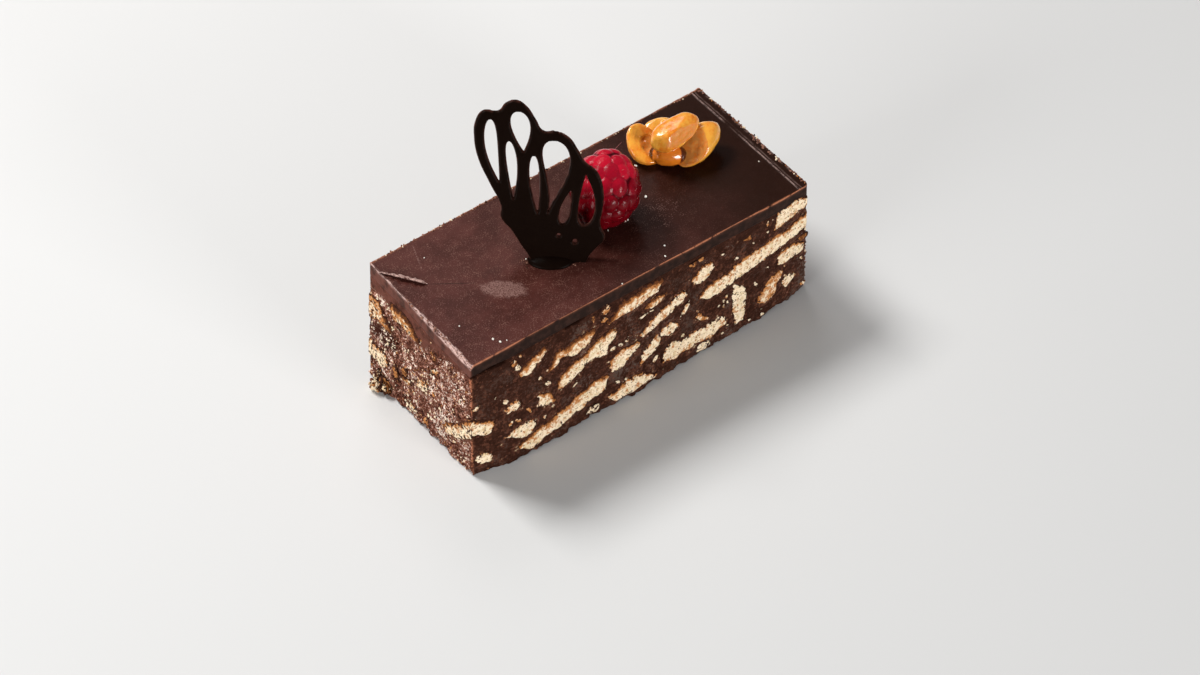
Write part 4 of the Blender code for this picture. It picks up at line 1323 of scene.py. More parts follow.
@dataclass(frozen=True)
class GlazeSlab:
    """The slab of set chocolate, with pale lips, a ridge by the right end and a burr at the back."""

    bottom: float = 40.3
    ridge: tuple = ((56.2, 1.0), (57.1, 0.35))      # along X, and how strong
    ridge_height: float = 0.16
    edge_span: float = 1.8
    sliver_line: tuple = ((-59.5, 20.6), (-51.0, 8.3))  # where the scraped flake starts and ends
    sliver_lean: float = 34.0
    cells: tuple = (0.8, 0.2)   # spacing of the points, and close to the edges and the ridge

    def shell(self) -> Shell:
        """Builds the slab.

        The skin of a block of cells has its grid lines close together at its edges and at the ridge.
        Its top rises in the ridge, in ragged lips along the edges and in slow waves, and its sides
        follow the faces of the slice.

        Returns:
            The closed surface with the marks pale, line, cut and haze.
        """
        left, right = FORM.top[0][0], FORM.top[1][0]
        front, back = FORM.top[0][1], FORM.top[2][1]
        close = ((left, left + self.edge_span), (55.6, 57.8), (58.0, right))
        xs = graded_steps(left, right, *self.cells, close)
        ys = graded_steps(front, back, *self.cells, ((front, front + 1.2), (back - self.edge_span, back)))
        zs = np.linspace(self.bottom, FORM.height, 10)
        counts = (len(xs) - 1, len(ys) - 1, len(zs) - 1)
        place, faces = block_skin(counts, ((2, 0),))
        u = (xs[place[:, 0]] - left) / (right - left)
        v = (ys[place[:, 1]] - front) / (back - front)
        height = zs[place[:, 2]]
        flat = FORM.point(u, v, height)
        points = flat.copy()
        from_side = {side: FORM.inward(side, flat) for side in Side}
        for side in Side:
            on = side.holds(place, counts)
            rough = 0.14 if side.is_end else 0.05
            out = CocoaMass.swell * lattice_noise(flat[on], 14.0, 3.0 * side.order + 2) - 0.2
            out += rough * layered_noise(flat[on], 2.6, 3.0 * side.order, 3)
            points[on, 1 - side.axis] -= side.way * out
        rim = place[:, 2] == 0
        joint = CocoaMass().crack(flat[:, 0]) * bell(from_side[Side.FRONT], 0.0, 1.2)
        points[rim, 2] += (joint * (0.42 + 0.35 * layered_noise(flat, 2.4, 8)))[rim]
        top = place[:, 2] == counts[2]
        lift, pale, line = self.top_relief(flat, from_side)
        scraped = 0.75 * np.maximum(self.bevel(flat) - from_side[Side.LEFT], 0)
        share = (height - self.bottom) / (FORM.height - self.bottom)
        points[:, 2] += np.where(top, lift - scraped, -share * scraped)
        below = FORM.height - height
        cut = (~top).astype(float)
        ends = 0.9 * bell(from_side[Side.LEFT], 0.0, 0.4) + 0.5 * bell(from_side[Side.RIGHT], 0.0, 0.4)
        marks = {"pale": np.where(top, pale, self.lip(flat, from_side) * np.exp(-(below / 0.6) ** 2)),
                 "line": line * np.exp(-below / 0.25), "cut": cut, "haze": cut * ends}
        return Shell(FORM.softened(points), faces, marks)

    def top_relief(self, flat: Array, from_side: dict) -> tuple:
        """How far the top rises, how pale it is and where its lit edge line shows.

        Args:
            flat: Places on the flat top.
            from_side: Distance of each place from each cut face.

        Returns:
            The rise in millimetres and the marks pale and line.
        """
        ragged = lattice_noise(flat, 1.1, 12)
        lift = 0.04 * lattice_noise(flat, 14.0, 9)
        broken = ease(lattice_noise(flat, 6.0, 31), -0.6, -0.2)
        wander = 0.12 * lattice_noise(flat, 4.0, 15)
        crests = sum(strength * bell(flat[:, 0] + wander, at, 0.20) for at, strength in self.ridge) * broken
        lift += self.ridge_height * crests
        near = {side: np.exp(-(gap / 0.42) ** 2) for side, gap in from_side.items()}
        wide_lip = self.lip(flat, from_side)
        lift += near[Side.LEFT] * (0.10 + 0.16 * ragged)
        lift += 0.26 * wide_lip * lattice_noise(flat * (2.0, 1.0, 1.0), 1.1, 17)
        lift += near[Side.BACK] * (0.12 + 0.30 * ragged) + near[Side.RIGHT] * (0.05 + 0.25 * ragged)
        along = flat * (1, 0, 0)
        lift += near[Side.FRONT] * (0.07 + 0.10 * layered_noise(along, 2.2, 34, 2))
        outermost = sum((gap < 0.08).astype(float) for gap in from_side.values())
        lift -= 0.16 * np.minimum(outermost, 1)
        pale = 0.62 * crests + 0.5 * near[Side.LEFT] + 1.05 * wide_lip
        pale += np.exp(-(from_side[Side.RIGHT] / 0.6) ** 2) * ease(ragged, 0.0, 0.5)
        pale += 0.5 * near[Side.BACK] * ease(ragged, -0.3, 0.4)
        # the line mark: a painted highlight along the lit front and right top edges, and a pale line along
        # the back edge
        thin = 0.21 + 0.10 * layered_noise(along, 4.0, 33, 3)
        line = np.exp(-(np.minimum(from_side[Side.FRONT], from_side[Side.RIGHT] + 0.1) / thin) ** 2)
        line *= ease(layered_noise(along, 2.6, 35, 3), -0.62, -0.45)
        line += 0.75 * np.exp(-(from_side[Side.BACK] / 0.5) ** 2) * ease(ragged, -0.7, 0.1)
        return lift, np.clip(pale, 0, 1.2), line

    def bevel(self, flat: Array) -> Array:
        """Width of the scraped edge along the left end, wider towards the front corner."""
        width = 0.25 + 0.80 * ease(-flat[:, 1], -10.0, 8.0)
        return width + 0.28 * lattice_noise(flat * (0, 1, 0), 1.6, 12)

    def lip(self, flat: Array, from_side: dict) -> Array:
        """How pale the scraped edge is."""
        ragged = 0.35 * lattice_noise(flat * (1, 1, 0), 0.9, 13)
        return ease(self.bevel(flat) + 0.15 + ragged - from_side[Side.LEFT], 0.0, 0.35)

    def sliver(self) -> Shell:
        """A flake of glaze that was scraped up by the left end.

        Its long line runs straight, its cross-section is a flat oval that leans up towards the front,
        and its half width swells as a sine and wanders by noise.

        Returns:
            The closed surface with the same marks as the slab.
        """
        ways, faces = ball(60, 14)
        tip, end = np.array(self.sliver_line)
        line, length = unit(end - tip), np.linalg.norm(end - tip)
        aside = np.array((line[1], -line[0]))
        along = (1 - ways[:, 2]) / 2
        girth = np.sqrt(np.clip(1 - ways[:, 2] ** 2, 1e-9, 1))
        around = ways[:, :2] / girth[:, None]
        spot = side_by_side(along * length, 0.0, 0.0)
        grow = np.sin(math.pi * np.clip(along, 0.004, 0.996)) ** 0.4 * (0.70 + 0.65 * along)
        grow *= 1 + 0.45 * lattice_noise(spot, 1.1, 3)
        ribs = 1 + 0.5 * lattice_noise(spot, 0.5, 9)
        across, thick = around[:, 0] * 1.02 * grow, around[:, 1] * 0.27 * grow * ribs
        lean = math.radians(self.sliver_lean)
        out = across * math.cos(lean) - thick * math.sin(lean)
        up = across * math.sin(lean) + thick * math.cos(lean) + 0.50 * grow
        flat = tip + line * (along * length)[:, None] + aside * out[:, None]
        points = np.column_stack((flat, FORM.height + np.maximum(up, -0.1)))
        pale = 0.3 + 0.8 * ease(around[:, 1], -0.2, 0.5)
        none = np.zeros(len(pale))
        return Shell(points, faces, {"pale": pale, "line": none, "cut": none, "haze": none})

    def build(self) -> None:
        """Makes the slab and the flake."""
        finish = GlazeFinish().material()
        make_piece("glaze_slab", self.shell(), finish, ("glaze",))
        make_piece("glaze_sliver", self.sliver(), finish)


@dataclass(frozen=True)
class Drop:
    """A drop-shaped opening in the lace, from its sharp tip to its round end."""

    tip: tuple
    end: tuple
    half_width: float
    bow: float = 0.0
    sharpness: float = 1.0

    def outline(self, steps: int = 48) -> Array:
        """The drop's edge, whose half width swells as sin(a) sin(a / 2) ^ sharpness.

        Args:
            steps: How many points.

        Returns:
            Points round the edge.
        """
        tip, axis = np.array(self.tip), np.subtract(self.end, self.tip)
        side = unit(np.array((-axis[1], axis[0])))
        power = self.sharpness
        widest = 2 * ((power + 1) / (power + 2)) ** ((power + 1) / 2) / math.sqrt(power + 2)
        angle = 2 * math.pi * np.arange(steps) / steps
        along = (1 - np.cos(angle)) / 2
        across = self.half_width * np.sin(angle) * np.abs(np.sin(angle / 2)) ** power / widest
        across += self.bow * np.sin(math.pi * along)
        return tip + axis * along[:, None] + side * across[:, None]


@dataclass(frozen=True)
class ChocolateLace:
    """A leaning sheet of piped loops, whose foot is set in a drop of chocolate."""

    foot: tuple = (-17.7, -5.0)
    heading: float = -37.1
    lean: float = 20.0
    half_thick: float = 1.0
    rounding: float = 0.6       # how far in from an edge the sheet reaches its full thickness
    cell: float = 0.33
    extent: tuple = ((-22.5, 16.5), (-1.5, 50.5))   # of the grid of cells, across and up
    dab: tuple = (6.6, 4.0, 1.9)    # half sizes of the drop round the foot
    outline: tuple = (
        (9.9, -1.3), (-5.2, -1.3), (-6.3, 1.4), (-8.4, 4.8), (-11.2, 9.6), (-14.0, 13.4), (-14.1, 17.3),
        (-16.8, 23.5), (-20.2, 31.8), (-21.2, 38.2), (-20.7, 43.2), (-18.6, 46.2), (-14.3, 46.2),
        (-12.2, 48.5), (-9.3, 49.3), (-6.6, 47.7), (-4.0, 43.7), (-1.7, 40.0), (1.2, 39.9),
        (5.0, 38.3), (8.0, 33.9), (9.8, 30.6), (13.1, 27.6), (14.9, 21.7), (14.6, 15.4),
        (14.0, 11.4), (15.3, 7.0), (13.4, 4.4), (11.6, 2.4), (10.4, 0.4),
    )
    openings: tuple = (
        Drop((-14.3, 24.6), (-16.7, 43.4), 1.75, 0.7), Drop((-7.4, 33.8), (-9.1, 45.7), 2.6, -0.4),
        Drop((-10.4, 19.4), (-11.5, 36.7), 1.4, -0.4), Drop((-3.6, 14.9), (-4.6, 32.3), 1.35, 0.2),
        Drop((-0.8, 15.0), (1.2, 36.9), 3.8, -1.5, 2.5), Drop((5.8, 21.7), (3.2, 11.5), 1.35, -0.2),
        Drop((10.0, 26.4), (9.4, 11.1), 2.3, 0.6),
    )
    pinholes: tuple = ((2.3, 8.1, 0.45), (6.8, 6.1, 0.6))   # across, up, radius

    def smooth_outline(self, steps: int = 10) -> Array:
        """The outer edge as one smooth closed curve.

        Each stretch is a cubic Bezier curve. A point's two handles lie along the sum of the unit
        vectors to and from it, each as long as its neighbour's distance over 2.56 times that sum.

        Args:
            steps: Points on each stretch.

        Returns:
            Points round the edge.
        """
        here = np.array(self.outline)
        before, after = here - np.roll(here, 1, axis=0), np.roll(here, -1, axis=0) - here
        long_before = np.linalg.norm(before, axis=1, keepdims=True)
        long_after = np.linalg.norm(after, axis=1, keepdims=True)
        way = before / long_before + after / long_after
        scale = 2.5614 * np.linalg.norm(way, axis=1, keepdims=True)
        leave, arrive = here + way * long_after / scale, here - way * long_before / scale
        ends = (here, leave, np.roll(arrive, -1, axis=0), np.roll(here, -1, axis=0))
        t = (np.arange(steps) / steps)[None, :, None]
        weights = ((1 - t) ** 3, 3 * t * (1 - t) ** 2, 3 * t ** 2 * (1 - t), t ** 3)
        return sum(weight * end[:, None] for weight, end in zip(weights, ends)).reshape(-1, 2)

    def edges(self) -> list:
        """Every closed edge of the sheet.

        Returns:
            The outer edge first, then the openings and the pinholes.
        """
        angle = np.arange(14) * 2 * math.pi / 14
        rings = [np.column_stack((across + radius * np.cos(angle), up + radius * np.sin(angle)))
                 for across, up, radius in self.pinholes]
        return [self.smooth_outline()] + [drop.outline() for drop in self.openings] + rings

    @staticmethod
    def nearest(points: Array, edge: Array) -> tuple:
        """The nearest place of a closed edge to each point.

        Args:
            points: Places on the sheet.
            edge: Points round the edge.

        Returns:
            The nearest places, and whether each point is inside the edge.
        """
        start, span = edge, np.roll(edge, -1, axis=0) - edge
        share = ((points[:, None] - start) * span).sum(-1) / (span ** 2).sum(-1)
        spots = start + span * np.clip(share, 0, 1)[..., None]
        best = np.linalg.norm(points[:, None] - spots, axis=-1).argmin(axis=1)
        rising = (start[:, 1] <= points[:, 1:]) != ((start + span)[:, 1] <= points[:, 1:])
        with np.errstate(divide="ignore", invalid="ignore"):
            cross = start[:, 0] + span[:, 0] * (points[:, 1:] - start[:, 1]) / span[:, 1]
        inside = (rising & (points[:, :1] < cross)).sum(axis=1) % 2 == 1
        return spots[np.arange(len(points)), best], inside

    def measure(self, points: Array) -> tuple:
        """Measures how far places are from the sheet's nearest edge.

        Args:
            points: Places on the sheet.

        Returns:
            The distances, above 0 on chocolate, and the nearest places of an edge.
        """
        reach = np.full(len(points), 1e9)
        spot, solid = points.copy(), np.ones(len(points), bool)
        for number, edge in enumerate(self.edges()):
            near, inside = self.nearest(points, edge)
            away = np.linalg.norm(points - near, axis=1)
            spot = np.where((away < reach)[:, None], near, spot)
            reach = np.minimum(reach, away)
            solid &= inside if number == 0 else ~inside
        return np.where(solid, reach, -reach), spot

    def sheet(self) -> Shell:
        """Builds the sheet.

        Cells of a flat grid whose middle is on chocolate are kept. Points on their rim are pulled to
        the nearest edge, and the thickness rises from there as a quarter circle. The front and back
        share their rim points, so the sheet is closed.

        Returns:
            The surface with the mark rim.
        """
        lines = [np.arange(*span, self.cell) for span in self.extent]
        grid = np.stack(np.meshgrid(*lines, indexing="ij"), -1)
        middles = (grid[:-1, :-1] + grid[1:, 1:]) / 2
        kept = (self.measure(middles.reshape(-1, 2))[0] > 0).reshape(middles.shape[:2])
        touching = np.zeros(grid.shape[:2], int)
        for dx, dy in ((0, 0), (1, 0), (1, 1), (0, 1)):
            touching[dx:dx + kept.shape[0], dy:dy + kept.shape[1]] += kept
        used, rim = touching > 0, (touching > 0) & (touching < 4)
        flat = grid[used]
        gap, spot = self.measure(flat)
        on_rim = rim[used]
        flat[on_rim] = spot[on_rim]
        gap = np.where(on_rim, 0.0, np.maximum(gap, 0.0))
        thick = self.half_thick * np.sqrt(1 - (1 - np.clip(gap / self.rounding, 0, 1)) ** 2)
        bumps = np.column_stack((flat, np.zeros(len(flat))))
        uneven = 0.10 * lattice_noise(bumps, 4.0, 2) * np.clip(gap / self.rounding, 0, 1)
        number = np.full(grid.shape[:2], -1)
        number[used] = np.arange(used.sum())
        back = number.copy()
        inner = used & ~rim
        back[inner] = used.sum() + np.arange(inner.sum())
        faces = [grid_quads(number)[kept], grid_quads(back)[kept][:, ::-1]]
        front = np.column_stack((flat, thick + uneven))
        behind = np.column_stack((flat, -thick + uneven))[~on_rim]
        local = np.vstack((front, behind))
        # the rim mark: where the painted edge glow shows
        shade = np.exp(-gap / 0.12)
        return Shell(self.set_up(local), faces, {"rim": np.concatenate((shade, shade[~on_rim]))})

    def axes(self, lean: float) -> Array:
        """The directions of a sheet that leans back from upright.

        Args:
            lean: Degrees from upright.

        Returns:
            Unit rows across the sheet, up it and towards its front.
        """
        turn, tip = math.radians(self.heading), math.radians(lean)
        across = np.array((math.cos(turn), math.sin(turn), 0.0))
        away = np.array((-math.sin(turn), math.cos(turn), 0.0))
        up = away * math.sin(tip) + np.array((0.0, 0.0, math.cos(tip)))
        return np.stack((across, up, np.cross(across, up)))

    def set_up(self, local: Array) -> Array:
        """Places on the leaning sheet, in the cake's own millimetres."""
        return local @ self.axes(self.lean) + (*self.foot, FORM.height)

    def round_foot(self, local: Array) -> Array:
        """Places across, away from and above the foot, in the cake's own millimetres."""
        return local @ self.axes(0.0)[[0, 2, 1]] + (*self.foot, FORM.height)

    def drop(self) -> Shell:
        """The drop of set chocolate round the foot: a flat ball with a slightly wavy skin.

        Returns:
            The closed surface with the mark rim.
        """
        ways, faces = ball(28, 56)
        swell = 1 + 0.05 * layered_noise(ways * 3, 2.0, 4, 2)
        return Shell(self.round_foot(ways * swell[:, None] * self.dab), faces, {"rim": np.zeros(len(ways))})

    def build(self) -> None:
        """Makes the sheet and its drop as one piece."""
        made = join_shells([self.sheet(), self.drop()])
        make_piece("chocolate_lace", made, LaceFinish().material(), ("lace",))


@dataclass(frozen=True)
class Raspberry:
    """A leaning berry whose skin swells into drupelets in rings, each with a fine hair."""

    centre: tuple = (5.6, -0.6, 55.9)
    radii: tuple = (9.9, 9.9, 11.3)
    full_side: tuple = (-0.885, 0.073, -0.443)      # the way in which the berry is fuller
    fullness: float = 0.15
    lean: float = 43.0
    heading: float = -37.1
    rings: int = 7
    reach: float = 0.385        # radians from a drupelet's middle to its foot
    swell: float = 2.3          # how far a drupelet rises, foot to top
    jitter: float = 0.060
    blend: float = 0.012        # softness of the seams
    hair_radius: float = 0.055

    def heads(self, draw: np.random.Generator) -> Array:
        """Sets the drupelets in rings, whose count follows the ring's girth, and jitters them.

        Args:
            draw: The random numbers.

        Returns:
            The direction of each from the berry's middle.
        """
        made = []
        for ring in range(self.rings):
            polar = math.pi * (ring + 0.5) / self.rings
            count = max(3, round(2 * self.rings * math.sin(polar)))
            turn = 2 * math.pi * (np.arange(count) + 0.5 * (ring % 2)) / count
            flat = math.sin(polar)
            made.append(side_by_side(flat * np.cos(turn), flat * np.sin(turn), math.cos(polar)))
        heads = np.concatenate(made)
        return unit(heads + draw.normal(0, self.jitter, heads.shape))

    def frame(self) -> Array:
        """The berry's own axes after its lean and heading.

        Returns:
            Three unit rows.
        """
        tip, turn = math.radians(-self.lean), math.radians(self.heading)
        lean = np.array(((1, 0, 0), (0, math.cos(tip), math.sin(tip)), (0, -math.sin(tip), math.cos(tip))))
        head = np.array(((math.cos(turn), math.sin(turn), 0), (-math.sin(turn), math.cos(turn), 0),
                         (0, 0, 1)))
        return lean @ head

    def oval(self, ways: Array) -> Array:
        """The berry's smooth form in each direction: an oval that swells as a bell on its full side."""
        fuller = self.frame() @ unit(np.array(self.full_side))
        return ways * self.radii * (1 + self.fullness * bell(ways @ fuller, 1.0, 0.35))[:, None]

    def skin(self, heads: Array, draw: np.random.Generator) -> Shell:
        """Builds the skin.

        Each drupelet is a dome over its direction, 1 at its middle and falling as a quarter circle.
        The skin lies below the berry's oval by how much the highest dome there falls short of 1, and
        a soft maximum keeps the seams from being knife sharp.

        Args:
            heads: Directions of the drupelets.
            draw: The random numbers.

        Returns:
            The closed surface with the marks seam_shade, for the painted shade of the seams, and shade.
        """
        ways, faces = ball(170, 290)
        size = self.reach * draw.uniform(0.93, 1.10, len(heads))
        away = np.arccos(np.clip(ways @ heads.T, -1, 1)) / size
        dome = np.sqrt(np.clip(1 - away ** 2, 0, 1)) + draw.uniform(-0.05, 0.02, len(heads))
        top = dome.max(axis=1)
        soft = top + self.blend * np.log(np.exp((dome - top[:, None]) / self.blend).sum(axis=1))
        smooth = ways * self.radii
        uneven = 0.10 * layered_noise(smooth, 1.6, 3, 2) + 0.25 * lattice_noise(smooth, 7.0, 9)
        local = self.oval(ways) - ways * (self.swell * (1 - soft))[:, None] + ways * uneven[:, None]
        shade = draw.uniform(0.0, 0.75, len(heads))[dome.argmax(axis=1)]
        return Shell(self.stand(local), faces, {"seam_shade": 1 - ease(soft, 0.55, 0.86), "shade": shade})

    def build(self) -> None:
        """Makes the berry and its hairs."""
        draw = np.random.default_rng(11)
        heads = self.heads(draw)
        skin = self.skin(heads, draw)
        make_piece("raspberry_berry", skin, BerryFinish().material(), ("raspberry",))
        finish = SugarFinish("berry_hair", (0.58, 0.20, 0.19), (0.42, 0.08, 0.09), 0.5)
        make_piece("raspberry_hairs", self.hairs(heads, draw), finish.material())

    def stand(self, points: Array) -> Array:
        """Turns the berry into its place and rests it on the glaze.

        Args:
            points: Places along its own axes.

        Returns:
            Places in the cake's millimetres.
        """
        placed = points @ self.frame() + self.centre
        placed[:, 2] = np.maximum(placed[:, 2], FORM.height + 0.02)
        return placed

    def hairs(self, heads: Array, draw: np.random.Generator) -> Shell:
        """A tapering tube from the top of each drupelet.

        A hair's path leaves the skin outwards and bends over along it, as a straight part plus a
        squared part, and four corners stand round the path in each of its rings.

        Args:
            heads: Directions of the drupelets.
            draw: The random numbers.

        Returns:
            One shell with all the hairs.
        """
        count, rings, corners = len(heads), 7, 4
        aside = unit(np.cross(heads, unit(draw.normal(0, 1, (count, 3)))))
        length = draw.uniform(1.0, 2.4, count)[:, None, None]
        lift = draw.uniform(0.02, 0.28, count)[:, None, None]
        lift[0], length[0] = 1.2, 2.6
        t = np.linspace(0, 1, rings)[None, :, None]
        root = (self.oval(heads) * 0.985)[:, None]
        path = root + length * (aside[:, None] * t + heads[:, None] * (lift * t - 0.14 * t * t))
        third = np.cross(heads, aside)
        angle = (np.arange(corners) * 2 * math.pi / corners)[None, None, :, None]
        radius = self.hair_radius * (1.05 - 0.7 * t[..., None])
        ring = radius * (np.cos(angle) * heads[:, None, None] + np.sin(angle) * third[:, None, None])
        points = (path[:, :, None] + ring).reshape(count, rings * corners, 3)
        number = np.arange(rings * corners).reshape(rings, corners)
        quads = grid_quads(np.column_stack((number, number[:, 0]))).reshape(-1, 4)
        made = repeated(points, [quads, np.stack((number[0], number[-1, ::-1]))])
        made.points = self.stand(made.points)
        return made


@dataclass(frozen=True)
class Peanut:
    """A caramelised peanut, or half of one whose flat side looks along facing."""

    centre: tuple
    size: tuple
    along: tuple
    facing: tuple
    half: bool = False
    presses: tuple = ()         # flat places: way, share of the half size where they start, softness, bare
    bare_middle: tuple = (0.0, 0.0)     # of the bare part of a half's flat side, in half sizes
    fair: float = 0.5           # from 0 for golden to 1 for straw

    @property
    def reach(self) -> Array:
        """Half sizes along its own axes."""
        return np.array(self.size) / 2

    @property
    def frame(self) -> Array:
        """The nut's own axes.

        Returns:
            Unit rows along the nut, aside, and out of its flat side.
        """
        first = unit(np.array(self.along, float))
        aside = unit(np.cross(np.array(self.facing, float), first))
        return np.stack((first, aside, np.cross(first, aside)))

    def gap(self, points: Array) -> Array:
        """About how far points lie outside this nut."""
        local = (points - self.centre) @ self.frame.T
        return np.linalg.norm(local, axis=1) * (1 - 1 / np.linalg.norm(local / self.reach, axis=1))


@dataclass(frozen=True)
class PeanutPile:
    """Five peanuts stuck together with caramel."""

    nuts: tuple = (
        Peanut((35.3, 6.4, 55.4), (17.2, 8.9, 8.6), (0.99, 0.05, 0.12), (0, 0, 1),
               presses=(((0.08, -0.93, 0.28), 0.74, 0.35, 1.0), ((-0.15, 0.10, 0.95), 0.84, 0.7, 0.0),
                        ((-0.70, -0.55, 0.30), 0.88, 0.5, 0.0), ((0.75, 0.55, 0.35), 0.86, 0.4, 0.0))),
        Peanut((28.9, 12.4, 49.5), (12.8, 9.8, 9.6), (-0.02, 0.84, 0.52), (-0.08, -0.76, 0.72), True,
               bare_middle=(-0.20, -0.22)),
        Peanut((41.3, 3.3, 49.9), (17.0, 10.4, 9.4), (0.94, 0.18, 0.25), (0, 0, 1),
               presses=(((-0.60, -0.34, 0.72), 0.52, 0.9, 1.0), ((0.5, 0.75, 0.45), 0.86, 0.6, 0.0)),
               fair=0.6),
        Peanut((32.4, 5.6, 48.9), (11.0, 7.0, 6.8), (0.8, -0.6, 0.0), (0, 0, 1), fair=0.0),
        Peanut((37.2, 15.2, 48.6), (10.2, 6.2, 6.6), (0.9, -0.43, 0.05), (0, 0, 1),
               presses=(((-0.3, -0.2, 0.95), 0.72, 0.5, 0.0),), fair=1.0),
    )
    taper: float = 0.1
    bare_reach: float = 0.56    # of the bare part, in half sizes
    rim_lift: float = 1.3       # how far over its middle a half is cut

    def pressed(self, nut: Peanut, local: Array) -> tuple:
        """Presses a nut flat where its presses say so.

        Points beyond a plane are brought back to it over a soft edge, and the flat is dimpled.

        Args:
            nut: The nut.
            local: Its points along its own axes.

        Returns:
            The pressed points and how bare each is.
        """
        bare = np.zeros(len(local))
        for way, share, soft, strength in nut.presses:
            way = nut.frame @ unit(np.array(way, float))
            over = local @ way - share * np.linalg.norm(way * nut.reach)
            dimples = 0.22 * layered_noise(local, 1.7, 8, 2) * ease(over, 0.0, 1.0)
            local = local - way * (soft / 2 * np.logaddexp(0.0, 2 * over / soft) + dimples)[:, None]
            bare = np.maximum(bare, strength * ease(over + 0.35 * lattice_noise(local, 1.8, 6), 0.0, 0.45))
        return local, bare

    def shell(self, nut: Peanut) -> Shell:
        """Builds one nut.

        A ball is stretched to the nut's size, made thinner towards one end, swollen by layered noise
        and pressed flat where its presses say so. A half is cut at its middle, with a soft rim and a
        shallow hollow.

        Args:
            nut: Its place, size and kind.

        Returns:
            The closed surface with the marks bare, pool_and_shade and fair.
        """
        ways, faces = ball(56, 76)
        own = ways[:, [2, 0, 1]]
        girth = 1 - self.taper * own[:, 0]
        local = own * nut.reach * side_by_side(1.0, girth, girth)
        spot = local + nut.centre
        uneven = 0.32 * lattice_noise(spot, 4.0, 4) + 0.11 * layered_noise(spot, 1.8, 5, 3)
        local, bare = self.pressed(nut, local + unit(local) * uneven[:, None])
        if nut.half:
            over = local[:, 2].copy()
            local[:, 2] = over - 0.55 * np.logaddexp(0.0, (over - self.rim_lift) / 0.55)
            flat = ease(over, self.rim_lift, self.rim_lift + 1.0)
            place = local[:, :2] / nut.reach[:2]
            spread = np.linalg.norm(place, axis=1)
            patch = np.linalg.norm(place - nut.bare_middle, axis=1)
            hollow = ease(0.70 - spread, 0.0, 0.5) * (0.40 + 0.5 * lattice_noise(spot, 2.5, 7))
            step = 0.14 * ease(self.bare_reach - patch, 0.0, 0.10)
            local[:, 2] -= flat * (hollow + step)
            ragged = self.bare_reach - patch + 0.10 * lattice_noise(spot, 1.6, 5)
            bare = np.maximum(bare, flat * ease(ragged, 0.0, 0.07))
        points = local @ nut.frame + nut.centre
        # the pool mark: amber of pooled caramel, and painted shade where the nuts touch and towards the glaze
        near = np.min([other.gap(points) for other in self.nuts if other is not nut], axis=0)
        low = ease(-points[:, 2], -FORM.height - 1.4, -FORM.height)
        points[:, 2] = np.maximum(points[:, 2], FORM.height + 0.02)
        pool_and_shade = 1.1 * np.exp(-np.maximum(near + 0.32, 0) / 0.14) + 0.4 * low
        return Shell(points, faces, {"bare": bare, "pool_and_shade": pool_and_shade * (1 - 0.3 * bare),
                                     "fair": np.full(len(points), nut.fair)})

    def build(self) -> None:
        """Makes each nut a piece."""
        finish = CaramelFinish().material()
        for number, nut in enumerate(self.nuts, start=1):
            make_piece(f"peanut_{number}", self.shell(nut), finish, (f"nut_{number}",))


